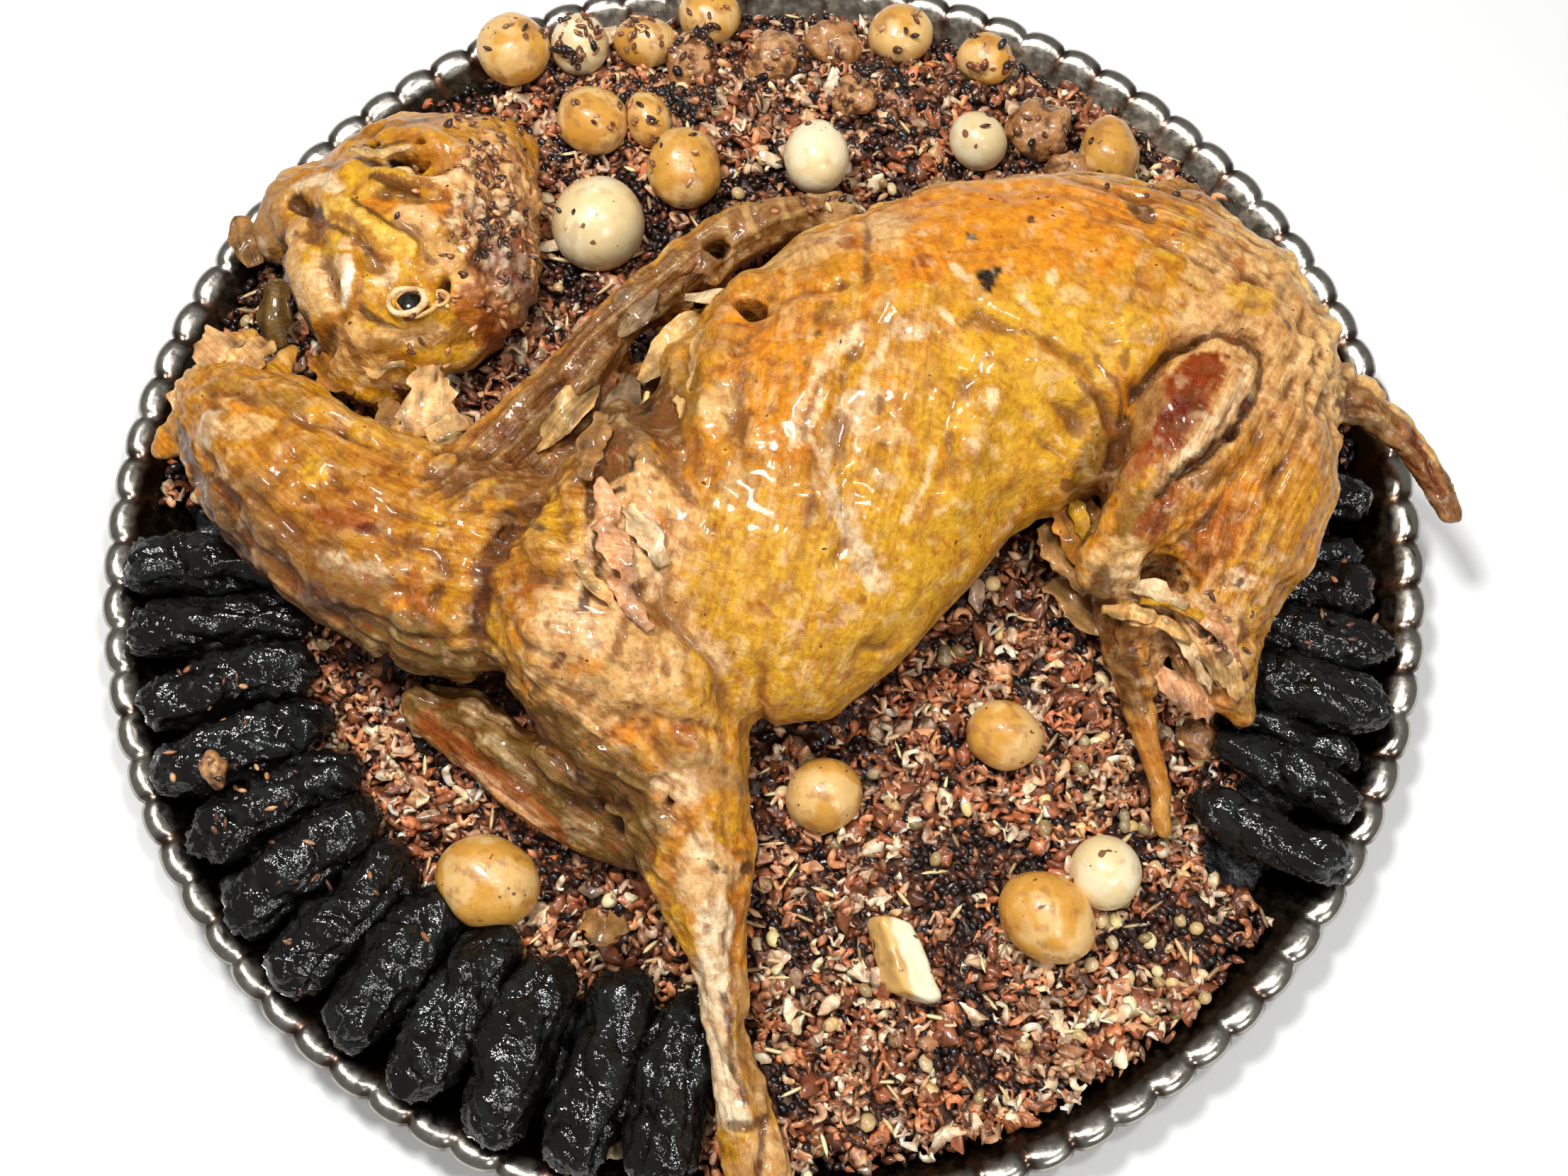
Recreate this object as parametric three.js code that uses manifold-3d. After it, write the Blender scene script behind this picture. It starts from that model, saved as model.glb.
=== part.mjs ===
// A festive platter: a whole roast lamb lies on its side on a round metal tray, on a bed of spiced
// rice and wheat, with its head beside its neck, boiled eggs, small potatoes, chunks of meat and
// black stuffed rolls along the tray's wall. Millimetres, +Z up. The origin is the centre of the
// tray's flat base, on the surface that it stands on. +Y points away from the diner.
import * as THREE from "three";
import { mergeVertices } from "three/addons/utils/BufferGeometryUtils.js";
import Module from "manifold-3d";

const wasm = await Module();
wasm.setup();

// Driving dimensions of the tray
const TRAY_RADIUS = 350;
const TRAY_HEIGHT = 36;
const TRAY_GAUGE = 2.6;
const BASE_RADIUS = 285;
const WALL_TOP_RADIUS = 337;
const RIM_LOBES = 90;
const LOBE_DEPTH = 3.2;

// Driving dimensions of the food
const FIT_GAP = 0.35; // clearance between pieces that touch
const BED_RADIUS = 326;
const BED_HEIGHT = 52;
const GRAIN_PITCH = 14.4; // spacing of the bed's bumps, where it shows
const HIDDEN_PITCH = 36; // spacing of the bed's points under the meat and the rolls
const BUMP_HEIGHT = 5;

// Deterministic random numbers, so that every build is the same.
function randomStream(seed) {
  let state = seed;
  return () => {
    state = (state + 0x6d2b79f5) | 0;
    let t = Math.imul(state ^ (state >>> 15), 1 | state);
    t = (t + Math.imul(t ^ (t >>> 7), 61 | t)) ^ t;
    return ((t ^ (t >>> 14)) >>> 0) / 4294967296;
  };
}

function smoothStep(low, high, value) {
  const t = Math.min(Math.max((value - low) / (high - low), 0), 1);
  return t * t * (3 - 2 * t);
}

// The value at x of the broken line through points [x, value].
function alongLine(points, x) {
  for (let i = 1; i < points.length; i++) {
    const [x0, y0] = points[i - 1];
    const [x1, y1] = points[i];
    if (x <= x1) return y0 + ((y1 - y0) * Math.max(x - x0, 0)) / (x1 - x0);
  }
  return points[points.length - 1][1];
}

// Closed solids and their geometry
function solidFrom(points, triangles) {
  const vertProperties = new Float32Array(points.flat());
  const triVerts = new Uint32Array(triangles.flat());
  const solid = new wasm.Manifold(new wasm.Mesh({ numProp: 3, vertProperties, triVerts }));
  return solid;
}

function solidFromGeometry(geometry) {
  const bare = geometry.clone();
  bare.deleteAttribute("normal");
  bare.deleteAttribute("uv");
  const merged = mergeVertices(bare, 1e-3);
  const vertProperties = new Float32Array(merged.attributes.position.array);
  const triVerts = new Uint32Array(merged.index.array);
  return new wasm.Manifold(new wasm.Mesh({ numProp: 3, vertProperties, triVerts }));
}

function geometryFrom(solid) {
  const { vertProperties, triVerts, numProp } = solid.getMesh();
  const positions = new Float32Array((vertProperties.length / numProp) * 3);
  for (let i = 0; i < positions.length / 3; i++) {
    for (let k = 0; k < 3; k++) positions[3 * i + k] = vertProperties[numProp * i + k];
  }
  const geometry = new THREE.BufferGeometry();
  geometry.setAttribute("position", new THREE.BufferAttribute(positions, 3));
  geometry.setIndex(new THREE.BufferAttribute(new Uint32Array(triVerts), 1));
  geometry.computeVertexNormals();
  return geometry;
}

function joined(solids) {
  return solids.reduce((whole, solid) => whole.add(solid));
}

// The largest closed piece of a solid: cutting can leave loose scraps, which are dropped.
function largestPiece(solid) {
  const pieces = solid.decompose();
  return pieces.reduce((best, piece) => (piece.volume() > best.volume() ? piece : best));
}

// Rings of points about Z, from a centre point round the section to another centre point. Each ring
// holds the same number of points as the one before it, or a whole number of times more or fewer.
function ringSolid(firstCentre, rings, lastCentre) {
  const points = [firstCentre];
  const starts = rings.map((ring) => {
    points.push(...ring);
    return points.length - ring.length;
  });
  points.push(lastCentre);
  const last = points.length - 1;
  const triangles = [];
  const count = (i) => rings[i].length;
  for (let j = 0; j < count(0); j++) {
    triangles.push([0, starts[0] + j, starts[0] + ((j + 1) % count(0))]);
  }
  for (let i = 1; i < rings.length; i++) {
    const few = Math.min(count(i - 1), count(i));
    const innerTimes = count(i - 1) / few;
    const outerTimes = count(i) / few;
    const inner = (j) => starts[i - 1] + (j % count(i - 1));
    const outer = (j) => starts[i] + (j % count(i));
    for (let j = 0; j < few; j++) {
      const a = j * innerTimes;
      const b = j * outerTimes;
      for (let k = 0; k < outerTimes; k++) triangles.push([inner(a), outer(b + k), outer(b + k + 1)]);
      for (let k = 0; k < innerTimes; k++) {
        triangles.push([inner(a + k), outer(b + outerTimes), inner(a + k + 1)]);
      }
    }
  }
  const end = rings.length - 1;
  for (let j = 0; j < count(end); j++) {
    triangles.push([starts[end] + j, last, starts[end] + ((j + 1) % count(end))]);
  }
  return solidFrom(points, triangles);
}

// The tray: pressed sheet metal with a flat base, a sloping wall and a scalloped rim
const POINTS_PER_LOBE = 3;

function plainRing(radius, z) {
  const ring = [];
  for (let j = 0; j < RIM_LOBES; j++) {
    const angle = (2 * Math.PI * j) / RIM_LOBES;
    ring.push([radius * Math.cos(angle), radius * Math.sin(angle), z]);
  }
  return ring;
}

// Each lobe bulges outward and up between two sharp notches.
function lobedRing(radius, z, lift) {
  const ring = [];
  const total = RIM_LOBES * POINTS_PER_LOBE;
  for (let j = 0; j < total; j++) {
    const angle = (2 * Math.PI * j) / total;
    const bulge = j % POINTS_PER_LOBE === 0 ? 0 : 1;
    const r = radius + LOBE_DEPTH * (bulge - 1);
    ring.push([r * Math.cos(angle), r * Math.sin(angle), z + lift * (bulge - 1)]);
  }
  return ring;
}

function traySolid() {
  return ringSolid(
    [0, 0, TRAY_GAUGE],
    [
      plainRing(BASE_RADIUS, TRAY_GAUGE),
      lobedRing(WALL_TOP_RADIUS + 2, TRAY_HEIGHT - 3.5, 0.4),
      lobedRing(TRAY_RADIUS - 5.5, TRAY_HEIGHT, 2.2),
      lobedRing(TRAY_RADIUS, TRAY_HEIGHT - 4, 1),
      plainRing(WALL_TOP_RADIUS + 2, TRAY_HEIGHT - 4 - TRAY_GAUGE),
      plainRing(BASE_RADIUS, 0),
    ],
    [0, 0, 0],
  );
}

// The bed of rice: its height over the tray, from the middle outwards, where it lies open and
// where it thins out under the rolls
const OPEN_PROFILE = [[0, BED_HEIGHT], [150, BED_HEIGHT], [215, 47], [265, 38], [300, 31], [BED_RADIUS, 27.5]];
const ROLL_PROFILE = [[0, BED_HEIGHT], [150, BED_HEIGHT], [200, 46], [235, 30], [260, 22], [300, 21], [BED_RADIUS, 27.5]];
const LEFT_SECTOR = { middle: -137.5, half: 43 }; // sectors of the rim, in degrees
const RIGHT_SECTOR = { middle: -14, half: 21 };
const SECTOR_BLEND = 6;
const HEAP = { x: 20, y: 245, width: 150, depth: 55, height: 22 }; // rice piled behind the lamb

function degreesFrom(x, y, middle) {
  const angle = (Math.atan2(y, x) * 180) / Math.PI;
  return Math.abs(((angle - middle + 540) % 360) - 180);
}

function bedHeight(x, y) {
  const r = Math.hypot(x, y);
  const rolls = Math.max(
    ...[LEFT_SECTOR, RIGHT_SECTOR].map(
      ({ middle, half }) => 1 - smoothStep(half, half + SECTOR_BLEND, degreesFrom(x, y, middle)),
    ),
  );
  const heap =
    HEAP.height *
    Math.exp(-(((x - HEAP.x) / HEAP.width) ** 2) - ((y - HEAP.y) / HEAP.depth) ** 2) *
    (1 - smoothStep(296, BED_RADIUS, r));
  return alongLine(OPEN_PROFILE, r) * (1 - rolls) + alongLine(ROLL_PROFILE, r) * rolls + heap;
}

// Delaunay triangles of points in the plane (Bowyer and Watson's method).
function delaunay(points) {
  const far = 1e5;
  const all = [...points, [-far, -far], [far, -far], [0, far]];
  const n = points.length;
  const withCircle = (a, b, c) => {
    const [ax, ay] = all[a];
    const [bx, by] = [all[b][0] - ax, all[b][1] - ay];
    const [cx, cy] = [all[c][0] - ax, all[c][1] - ay];
    const d = 2 * (bx * cy - by * cx);
    const x = (cy * (bx * bx + by * by) - by * (cx * cx + cy * cy)) / d;
    const y = (bx * (cx * cx + cy * cy) - cx * (bx * bx + by * by)) / d;
    return { corners: d > 0 ? [a, b, c] : [a, c, b], x: ax + x, y: ay + y, r2: x * x + y * y };
  };
  let triangles = [withCircle(n, n + 1, n + 2)];
  for (let i = 0; i < n; i++) {
    const [px, py] = all[i];
    const edges = new Map();
    const kept = [];
    for (const triangle of triangles) {
      if ((px - triangle.x) ** 2 + (py - triangle.y) ** 2 >= triangle.r2) {
        kept.push(triangle);
        continue;
      }
      const [a, b, c] = triangle.corners;
      for (const [from, to] of [[a, b], [b, c], [c, a]]) {
        const back = `${to},${from}`;
        if (edges.has(back)) edges.delete(back);
        else edges.set(`${from},${to}`, [from, to]);
      }
    }
    for (const [from, to] of edges.values()) kept.push(withCircle(from, to, i));
    triangles = kept;
  }
  return triangles.map(({ corners }) => corners).filter((t) => t.every((corner) => corner < n));
}

// Lofts: a limb or a body runs through stations [x, y, z, half width, half height]
function loftSolid(stations, sides, steps, grow = 0) {
  const middle = new THREE.CatmullRomCurve3(stations.map(([x, y, z]) => new THREE.Vector3(x, y, z)));
  const sizes = new THREE.CatmullRomCurve3(stations.map(([, , , w, h]) => new THREE.Vector3(w, h, 0)));
  const up = new THREE.Vector3(0, 0, 1);
  const rings = [];
  const addRing = (t, along, share) => {
    const centre = middle.getPoint(t);
    const forward = middle.getTangent(t);
    const side = new THREE.Vector3().crossVectors(forward, up).normalize();
    const top = new THREE.Vector3().crossVectors(side, forward);
    const { x: w, y: h } = sizes.getPoint(t);
    centre.addScaledVector(forward, along * (Math.min(w, h) + grow));
    const ring = [];
    for (let j = 0; j < sides; j++) {
      const angle = (2 * Math.PI * (j + 0.5)) / sides;
      const point = centre
        .clone()
        .addScaledVector(side, share * (w + grow) * Math.cos(angle))
        .addScaledVector(top, share * (h + grow) * Math.sin(angle));
      ring.push(point.toArray());
    }
    rings.push(ring);
  };
  addRing(0, -0.7, 0.6);
  for (let i = 0; i <= steps; i++) addRing(i / steps, 0, 1);
  addRing(1, 0.7, 0.6);
  const tip = (t, along) => {
    const { x: w, y: h } = sizes.getPoint(t);
    return middle.getPoint(t).addScaledVector(middle.getTangent(t), along * (Math.min(w, h) + grow)).toArray();
  };
  return ringSolid(tip(0, -0.9), rings, tip(1, 0.9));
}

// How far a point lies outside a loft's outline in plan (negative inside).
function distanceToLoft(x, y, stations) {
  let nearest = Infinity;
  for (let i = 1; i < stations.length; i++) {
    const [ax, ay, , aw] = stations[i - 1];
    const [bx, by, , bw] = stations[i];
    const length2 = (bx - ax) ** 2 + (by - ay) ** 2;
    const t = Math.min(Math.max(((x - ax) * (bx - ax) + (y - ay) * (by - ay)) / length2, 0), 1);
    const gap = Math.hypot(x - ax - t * (bx - ax), y - ay - t * (by - ay)) - (aw + t * (bw - aw));
    nearest = Math.min(nearest, gap);
  }
  return nearest;
}

// The lamb lies on its side, back away from the diner. Each loft lists its sides and steps.
const LAMB = {
  barrel: {
    sides: 16,
    steps: 9,
    stations: [
      [-30, -58, 100, 84, 52],
      [12, -10, 106, 95, 60],
      [70, 58, 108, 96, 62],
      [135, 82, 106, 93, 60],
      [203, 84, 102, 84, 56],
      [248, 64, 98, 58, 50],
      [262, 50, 94, 36, 40],
    ],
  },
  chest: {
    sides: 10,
    steps: 6,
    stations: [
      [5, 92, 100, 32, 44],
      [-32, 30, 106, 40, 52],
      [-80, -45, 108, 54, 52],
      [-84, -96, 98, 46, 42],
      [-52, -138, 90, 34, 34],
    ],
  },
  shoulder: {
    sides: 10,
    steps: 4,
    stations: [[-112, -62, 122, 22, 20], [-84, -78, 134, 30, 24], [-50, -98, 130, 26, 22], [-34, -128, 112, 18, 18]],
  },
  neck: {
    sides: 12,
    steps: 7,
    stations: [
      [-105, -45, 98, 52, 46],
      [-165, -30, 92, 60, 40],
      [-215, -5, 88, 50, 38],
      [-252, 28, 84, 46, 36],
      [-278, 56, 80, 30, 28],
    ],
  },
  neckFlap: { sides: 7, steps: 2, stations: [[-286, 52, 78, 18, 10], [-304, 44, 72, 13, 8], [-316, 38, 66, 7, 5]] },
  strap: {
    sides: 8,
    steps: 6,
    stations: [
      [-150, 10, 88, 24, 18],
      [-118, 45, 92, 17, 15],
      [-80, 85, 98, 17, 15],
      [-35, 130, 100, 17, 15],
      [6, 156, 97, 13, 14],
      [40, 160, 93, 10, 12],
    ],
  },
  innerChest: { sides: 8, steps: 3, stations: [[-112, 22, 72, 28, 24], [-60, 60, 74, 36, 26], [-8, 108, 76, 30, 24]] },
  foreleg: {
    sides: 9,
    steps: 11,
    stations: [
      [-45, -110, 94, 40, 36],
      [-34, -160, 88, 34, 30],
      [-27, -192, 84, 25, 24],
      [-21, -224, 74, 13, 15],
      [-15, -262, 64, 11, 12],
      [-8, -296, 57, 14, 13],
      [-2, -320, 54, 17, 14],
      [1, -332, 53, 13, 11],
    ],
  },
  skirt: {
    sides: 8,
    steps: 5,
    stations: [
      [-172, -98, 60, 14, 12],
      [-138, -112, 66, 24, 17],
      [-108, -131, 69, 28, 19],
      [-82, -149, 68, 27, 18],
      [-58, -168, 62, 16, 14],
    ],
  },
  thigh: {
    sides: 10,
    steps: 5,
    stations: [[230, 66, 128, 20, 18], [212, 32, 132, 33, 30], [190, -4, 120, 30, 30], [172, -34, 98, 21, 24]],
  },
  hindLeg: {
    sides: 10,
    steps: 6,
    stations: [
      [250, 36, 98, 40, 46],
      [239, -5, 96, 45, 42],
      [222, -50, 82, 35, 34],
      [232, -86, 66, 17, 20],
      [242, -101, 57, 8, 9],
    ],
  },
  hock: { sides: 8, steps: 3, stations: [[192, -32, 84, 32, 30], [186, -66, 68, 19, 19], [190, -84, 60, 11, 12]] },
  shin: { sides: 6, steps: 3, stations: [[180, -74, 62, 8, 9], [190, -105, 58, 7, 8], [198, -135, 54, 6, 7], [199, -158, 51, 5, 6]] },
  hipKnob: { sides: 8, steps: 2, stations: [[192, 146, 98, 28, 22], [216, 156, 96, 17, 16]] },
  tail: {
    sides: 7,
    steps: 5,
    stations: [[284, 62, 92, 18, 14], [312, 54, 88, 11, 10], [334, 33, 79, 8, 8], [348, 14, 70, 7, 7], [356, 3, 63, 5, 5]],
  },
};

// Thin flaps: cartilage that stands up in the open chest, and torn flesh round the neck's end
const FLAPS = [
  [[-60, 66, 98, 3, 4], [-50, 76, 106, 12, 3], [-34, 88, 108, 11, 3], [-22, 96, 104, 3, 3]],
  [[-66, 62, 96, 4, 4], [-70, 46, 100, 11, 3], [-70, 28, 94, 10, 3], [-68, 12, 84, 4, 4]],
  [[-84, 62, 96, 3, 4], [-92, 50, 100, 10, 3], [-104, 36, 96, 8, 3], [-116, 24, 88, 4, 4]],
  [[-34, 106, 98, 4, 4], [-18, 104, 104, 5, 2], [0, 92, 106, 3, 3]],
  [[-284, 72, 80, 14, 5], [-274, 88, 88, 13, 3], [-264, 97, 84, 8, 3]],
  [[-256, 62, 84, 11, 6], [-249, 80, 86, 11, 3], [-244, 92, 80, 6, 3]],
  [[-184, 32, 84, 12, 6], [-174, 54, 82, 16, 4], [-164, 68, 74, 9, 3]],
];

function lambSolid(grow) {
  const lofts = Object.values(LAMB).map(({ stations, sides, steps }) => loftSolid(stations, sides, steps, grow));
  const flaps = FLAPS.map((stations) => loftSolid(stations, 6, 2, grow));
  return joined([...lofts, ...flaps]);
}

// The head rests on its jaw, muzzle towards the tray's wall
const HEAD = {
  skull: {
    sides: 12,
    steps: 7,
    stations: [
      [-150, 212, 62, 30, 26],
      [-165, 188, 72, 52, 40],
      [-185, 148, 78, 70, 44],
      [-195, 110, 76, 60, 42],
      [-202, 92, 66, 36, 32],
    ],
  },
  muzzle: { sides: 10, steps: 3, stations: [[-215, 165, 70, 44, 38], [-245, 176, 62, 34, 30], [-262, 170, 54, 22, 20]] },
  brow: { sides: 8, steps: 2, stations: [[-160, 212, 66, 24, 22], [-190, 204, 70, 30, 28], [-220, 192, 66, 28, 26]] },
};
const EYE = { x: -179, y: 100, z: 116, ring: 9.5, wire: 3.2, turns: 14 };

function headSolid(grow) {
  const lofts = Object.values(HEAD).map(({ stations, sides, steps }) => loftSolid(stations, sides, steps, grow));
  const eyelid = new THREE.TorusGeometry(EYE.ring, EYE.wire + grow, 6, EYE.turns);
  eyelid.rotateX(-0.3);
  eyelid.translate(EYE.x, EYE.y, EYE.z);
  return joined([...lofts, solidFromGeometry(eyelid)]);
}

// Round things: [x, y, radius along, radius across, radius up, turn in degrees, lift over the bed]
const POTATOES = [
  [-142, 285, 22, 20, 18, 10, 16],
  [-68, 289, 19, 16, 15, -10, 8],
  [-31, 308, 19, 16, 16, 0, 10],
  [76, 296, 21, 18, 17, 20, 6],
  [124, 281, 18, 15, 15, -20, 6],
  [-95, 235, 20, 21, 18, 60, 0],
  [-65, 233, 13, 18, 14, 20, 0],
  [-44, 201, 20, 25, 20, 10, 0],
  [121, -112, 21, 19, 17, -20, 0],
  [30, -143, 21, 18, 18, 25, 0],
  [-138, -184, 28, 26, 22, -25, 0],
  [140, -202, 27, 21, 20, -38, 0],
  [190.5, 219, 17, 23, 18, 0, 6],
];
const EGGS = [
  [-105, 290, 17, 18, 17, 0, 8],
  [-90, 170, 26, 26, 25, 0, 0],
  [28, 198, 18, 21, 18, 0, 18],
  [117, 222, 16, 18, 16, 30, 0],
  [169, -180, 19, 19, 18, 15, 0],
];
const CHUNKS = [
  [4, 273, 17, 18, 13, 30, 0],
  [-41, 276, 16, 16, 13, 0, 0],
  [38, 290, 15, 14, 11, 60, 4],
  [51, 247, 14, 14, 11, 0, 0],
  [152, 236, 18, 16, 13, -30, 0],
  [223, -104, 13, 11, 10, 15, 0],
  [-122, -224, 9, 10, 8, 0, 2],
  [-272, -132, 8, 11, 7, 20, 38],
  [168, 205, 16, 12, 13, -40, 4],
];
const WEDGE = {
  x: 65,
  y: -222,
  reach: 24,
  height: 24,
  outline: [[-20, 18], [-13, 20.5], [-2.5, 20], [8.5, 17], [23, -18.5], [16, -21], [-7, -14], [-17, -2]],
  ridge: { x: -4.5, y: 0, turn: 17 },
  falls: [[26, 0], [-38, 0.5], [-62, 7]], // slopes away from the ridge, in degrees, and how far below its top
};
const SINK = 0.62; // share of the upward radius by which a round thing's middle stands above the bed

function lumpSolid([x, y, along, across, upward, turn, lift], lumpiness, seed, columns, rows, grow) {
  const random = randomStream(seed);
  const phases = [random() * 6, random() * 6, random() * 6];
  const ball = new THREE.SphereGeometry(1, columns, rows);
  const position = ball.attributes.position;
  const v = new THREE.Vector3();
  for (let i = 0; i < position.count; i++) {
    v.fromBufferAttribute(position, i);
    const lump =
      Math.sin(2.3 * v.x + phases[0]) + Math.sin(2.9 * v.y + phases[1]) + Math.sin(2.1 * v.z + phases[2]);
    v.multiplyScalar(1 + lumpiness * lump);
    position.setXYZ(i, v.x * (along + grow), v.y * (across + grow), v.z * (upward + grow));
  }
  ball.rotateZ((turn * Math.PI) / 180);
  ball.translate(x, y, bedHeight(x, y) + SINK * upward + lift);
  return solidFromGeometry(ball);
}

// A piece of boiled potato cut to a wedge: the white cut face falls to the right of its ridge, and the
// rounded skin to the left.
function wedgeSolid(grow) {
  const { x, y, reach, height, outline, ridge, falls } = WEDGE;
  const spread = 1 + grow / (0.7 * reach);
  const shape = new THREE.Shape(outline.map(([px, py]) => new THREE.Vector2(px * spread, py * spread)));
  const block = new THREE.ExtrudeGeometry(shape, { depth: height + 2 * grow, bevelEnabled: false });
  block.translate(0, 0, -grow);
  const faces = falls.map(([fall, drop]) => {
    const cutter = new THREE.BoxGeometry(4 * reach, 4 * reach, 2 * height);
    cutter.translate(0, 0, height);
    cutter.rotateY((fall * Math.PI) / 180);
    cutter.rotateZ((ridge.turn * Math.PI) / 180);
    cutter.translate(ridge.x, ridge.y, height - drop + grow);
    return solidFromGeometry(cutter);
  });
  const wedge = faces.reduce((rest, face) => rest.subtract(face), solidFromGeometry(block));
  return wedge.translate([x, y, bedHeight(x, y) - 4]);
}

// Black rolls lie side by side, like spokes, with their outer ends on the tray's wall
const ROLL_REACH = { left: 254, right: 268, tip: 336, innerRise: 22, outerRise: 27 };
const LEFT_ROLL_COUNT = 12;
const leftRollAngle = (i) => -176.7 + 6.45 * i + 0.06 * i * i;
const leftRollRadius = (i) => 16.4 + 0.4 * i;
const RIGHT_ROLLS_AT = [
  // angle in degrees, radius of its tip from the tray's centre, its own radius, lift
  [4, 322, 15, 2],
  [-1.6, 314, 13, 0],
  [-6, 320, 13.5, 0],
  [-11.2, 332, 15.5, 3],
  [-17, 336, 17, 6],
  [-21.8, 329, 12.5, 0],
  [-25.6, 338, 14, 5],
  [-32.3, 343, 14, 8],
];

function rollStations({ angle, radius, start, tip, lift }, seed) {
  const random = randomStream(seed);
  const bend = (random() - 0.5) * 5;
  const skew = (random() - 0.5) * 2;
  const inner = start + 8 * (random() - 0.5);
  const outer = tip - 0.8 * radius;
  return [0, 0.33, 0.67, 1].map((t) => {
    const r = inner + (outer - inner) * t;
    const turn = ((angle + skew * (t - 0.5)) * Math.PI) / 180;
    const off = bend * Math.sin(Math.PI * t);
    const swell = radius * (0.93 + 0.07 * random()) * (t === 0 || t === 1 ? 0.94 : 1);
    const rise = ROLL_REACH.innerRise + (ROLL_REACH.outerRise - ROLL_REACH.innerRise) * t;
    return [
      r * Math.cos(turn) - off * Math.sin(turn),
      r * Math.sin(turn) + off * Math.cos(turn),
      rise + radius + lift,
      swell,
      swell * (0.92 + 0.08 * random()),
    ];
  });
}

function allRolls() {
  const rolls = [];
  for (let i = 0; i < LEFT_ROLL_COUNT; i++) {
    const { left: start, tip } = ROLL_REACH;
    const [angle, radius] = [leftRollAngle(i), leftRollRadius(i)];
    rolls.push(rollStations({ angle, radius, start, tip, lift: 0 }, 200 + i));
  }
  RIGHT_ROLLS_AT.forEach(([angle, tip, radius, lift], i) => {
    rolls.push(rollStations({ angle, radius, start: ROLL_REACH.right, tip, lift }, 300 + i));
  });
  return rolls;
}

// The bed shows between these outlines, and its bumps stay there.
function clearanceFrom(x, y, rolls) {
  const meat = [...Object.values(LAMB), ...Object.values(HEAD)].map(({ stations }) =>
    distanceToLoft(x, y, stations),
  );
  const underRolls = rolls.map((stations) => distanceToLoft(x, y, stations));
  const rounds = [...POTATOES, ...EGGS, ...CHUNKS].map(
    ([cx, cy, a, b]) => Math.hypot(x - cx, y - cy) - Math.max(a, b),
  );
  const wedge = Math.hypot(x - WEDGE.x, y - WEDGE.y) - 0.8 * WEDGE.reach;
  return Math.min(...meat, ...underRolls, ...rounds, wedge);
}

function hexGrid(pitch) {
  const points = [];
  const rowStep = (pitch * Math.sqrt(3)) / 2;
  const rows = Math.ceil(BED_RADIUS / rowStep);
  for (let row = -rows; row <= rows; row++) {
    const shift = row % 2 === 0 ? 0 : pitch / 2;
    for (let column = -rows; column <= rows; column++) {
      const x = column * pitch + shift;
      const y = row * rowStep;
      if (Math.hypot(x, y) < BED_RADIUS - 0.6 * pitch) points.push([x, y]);
    }
  }
  return points;
}

function bedSolid(rolls) {
  const random = randomStream(7);
  const edgeCount = 96;
  const top = [];
  for (const [x, y] of hexGrid(GRAIN_PITCH)) {
    if (clearanceFrom(x, y, rolls) < 2) continue;
    const shiftX = (random() - 0.5) * 0.4 * GRAIN_PITCH;
    const shiftY = (random() - 0.5) * 0.4 * GRAIN_PITCH;
    const bump = BUMP_HEIGHT * (random() - 0.35);
    top.push([x + shiftX, y + shiftY, bedHeight(x, y) + bump]);
  }
  for (const [x, y] of hexGrid(HIDDEN_PITCH)) {
    if (clearanceFrom(x, y, rolls) < -4) top.push([x, y, bedHeight(x, y)]);
  }
  const edgeStart = top.length;
  for (let j = 0; j < edgeCount; j++) {
    const angle = (2 * Math.PI * j) / edgeCount;
    const x = BED_RADIUS * Math.cos(angle);
    const y = BED_RADIUS * Math.sin(angle);
    top.push([x, y, bedHeight(x, y)]);
  }
  const triangles = delaunay(top);
  const bottomStart = top.length;
  const footRadius = BASE_RADIUS - 1.5;
  const footZ = TRAY_GAUGE + FIT_GAP;
  for (let j = 0; j < edgeCount; j++) {
    const angle = (2 * Math.PI * j) / edgeCount;
    top.push([footRadius * Math.cos(angle), footRadius * Math.sin(angle), footZ]);
  }
  top.push([0, 0, footZ]);
  const centre = top.length - 1;
  for (let j = 0; j < edgeCount; j++) {
    const next = (j + 1) % edgeCount;
    triangles.push([edgeStart + j, bottomStart + j, bottomStart + next]);
    triangles.push([edgeStart + j, bottomStart + next, edgeStart + next]);
    triangles.push([bottomStart + next, bottomStart + j, centre]);
  }
  return solidFrom(top, triangles);
}

// Materials: colour, roughness and metalness of each kind of piece
const LOOKS = {
  steel: { color: 0xc9c9c6, roughness: 0.22, metalness: 1 },
  rice: { color: 0x6b4226, roughness: 0.6, metalness: 0 },
  roast: { color: 0xc98a2e, roughness: 0.38, metalness: 0 },
  potato: { color: 0xe0b35a, roughness: 0.45, metalness: 0 },
  egg: { color: 0xf0e6c4, roughness: 0.4, metalness: 0 },
  meat: { color: 0xb5714a, roughness: 0.55, metalness: 0 },
  roll: { color: 0x0d0e0e, roughness: 0.25, metalness: 0 },
};

// Assembly
const platter = new THREE.Group();

function place(name, solid, look) {
  const mesh = new THREE.Mesh(geometryFrom(solid), new THREE.MeshStandardMaterial(LOOKS[look]));
  mesh.name = name;
  platter.add(mesh);
}

const rolls = allRolls();
const tray = traySolid();
const bed = bedSolid(rolls);
place("tray", tray, "steel");
place("rice_bed", bed, "rice");

// Each later piece is cut back to a small gap from everything that is already there.
const dish = joined([tray, bed]);
const taken = [dish.add(dish.translate([0, 0, FIT_GAP]))];

function settle(name, build, look) {
  const solid = taken.reduce((rest, room) => rest.subtract(room), build(0));
  place(name, largestPiece(solid), look);
  taken.push(build(FIT_GAP));
}

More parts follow.
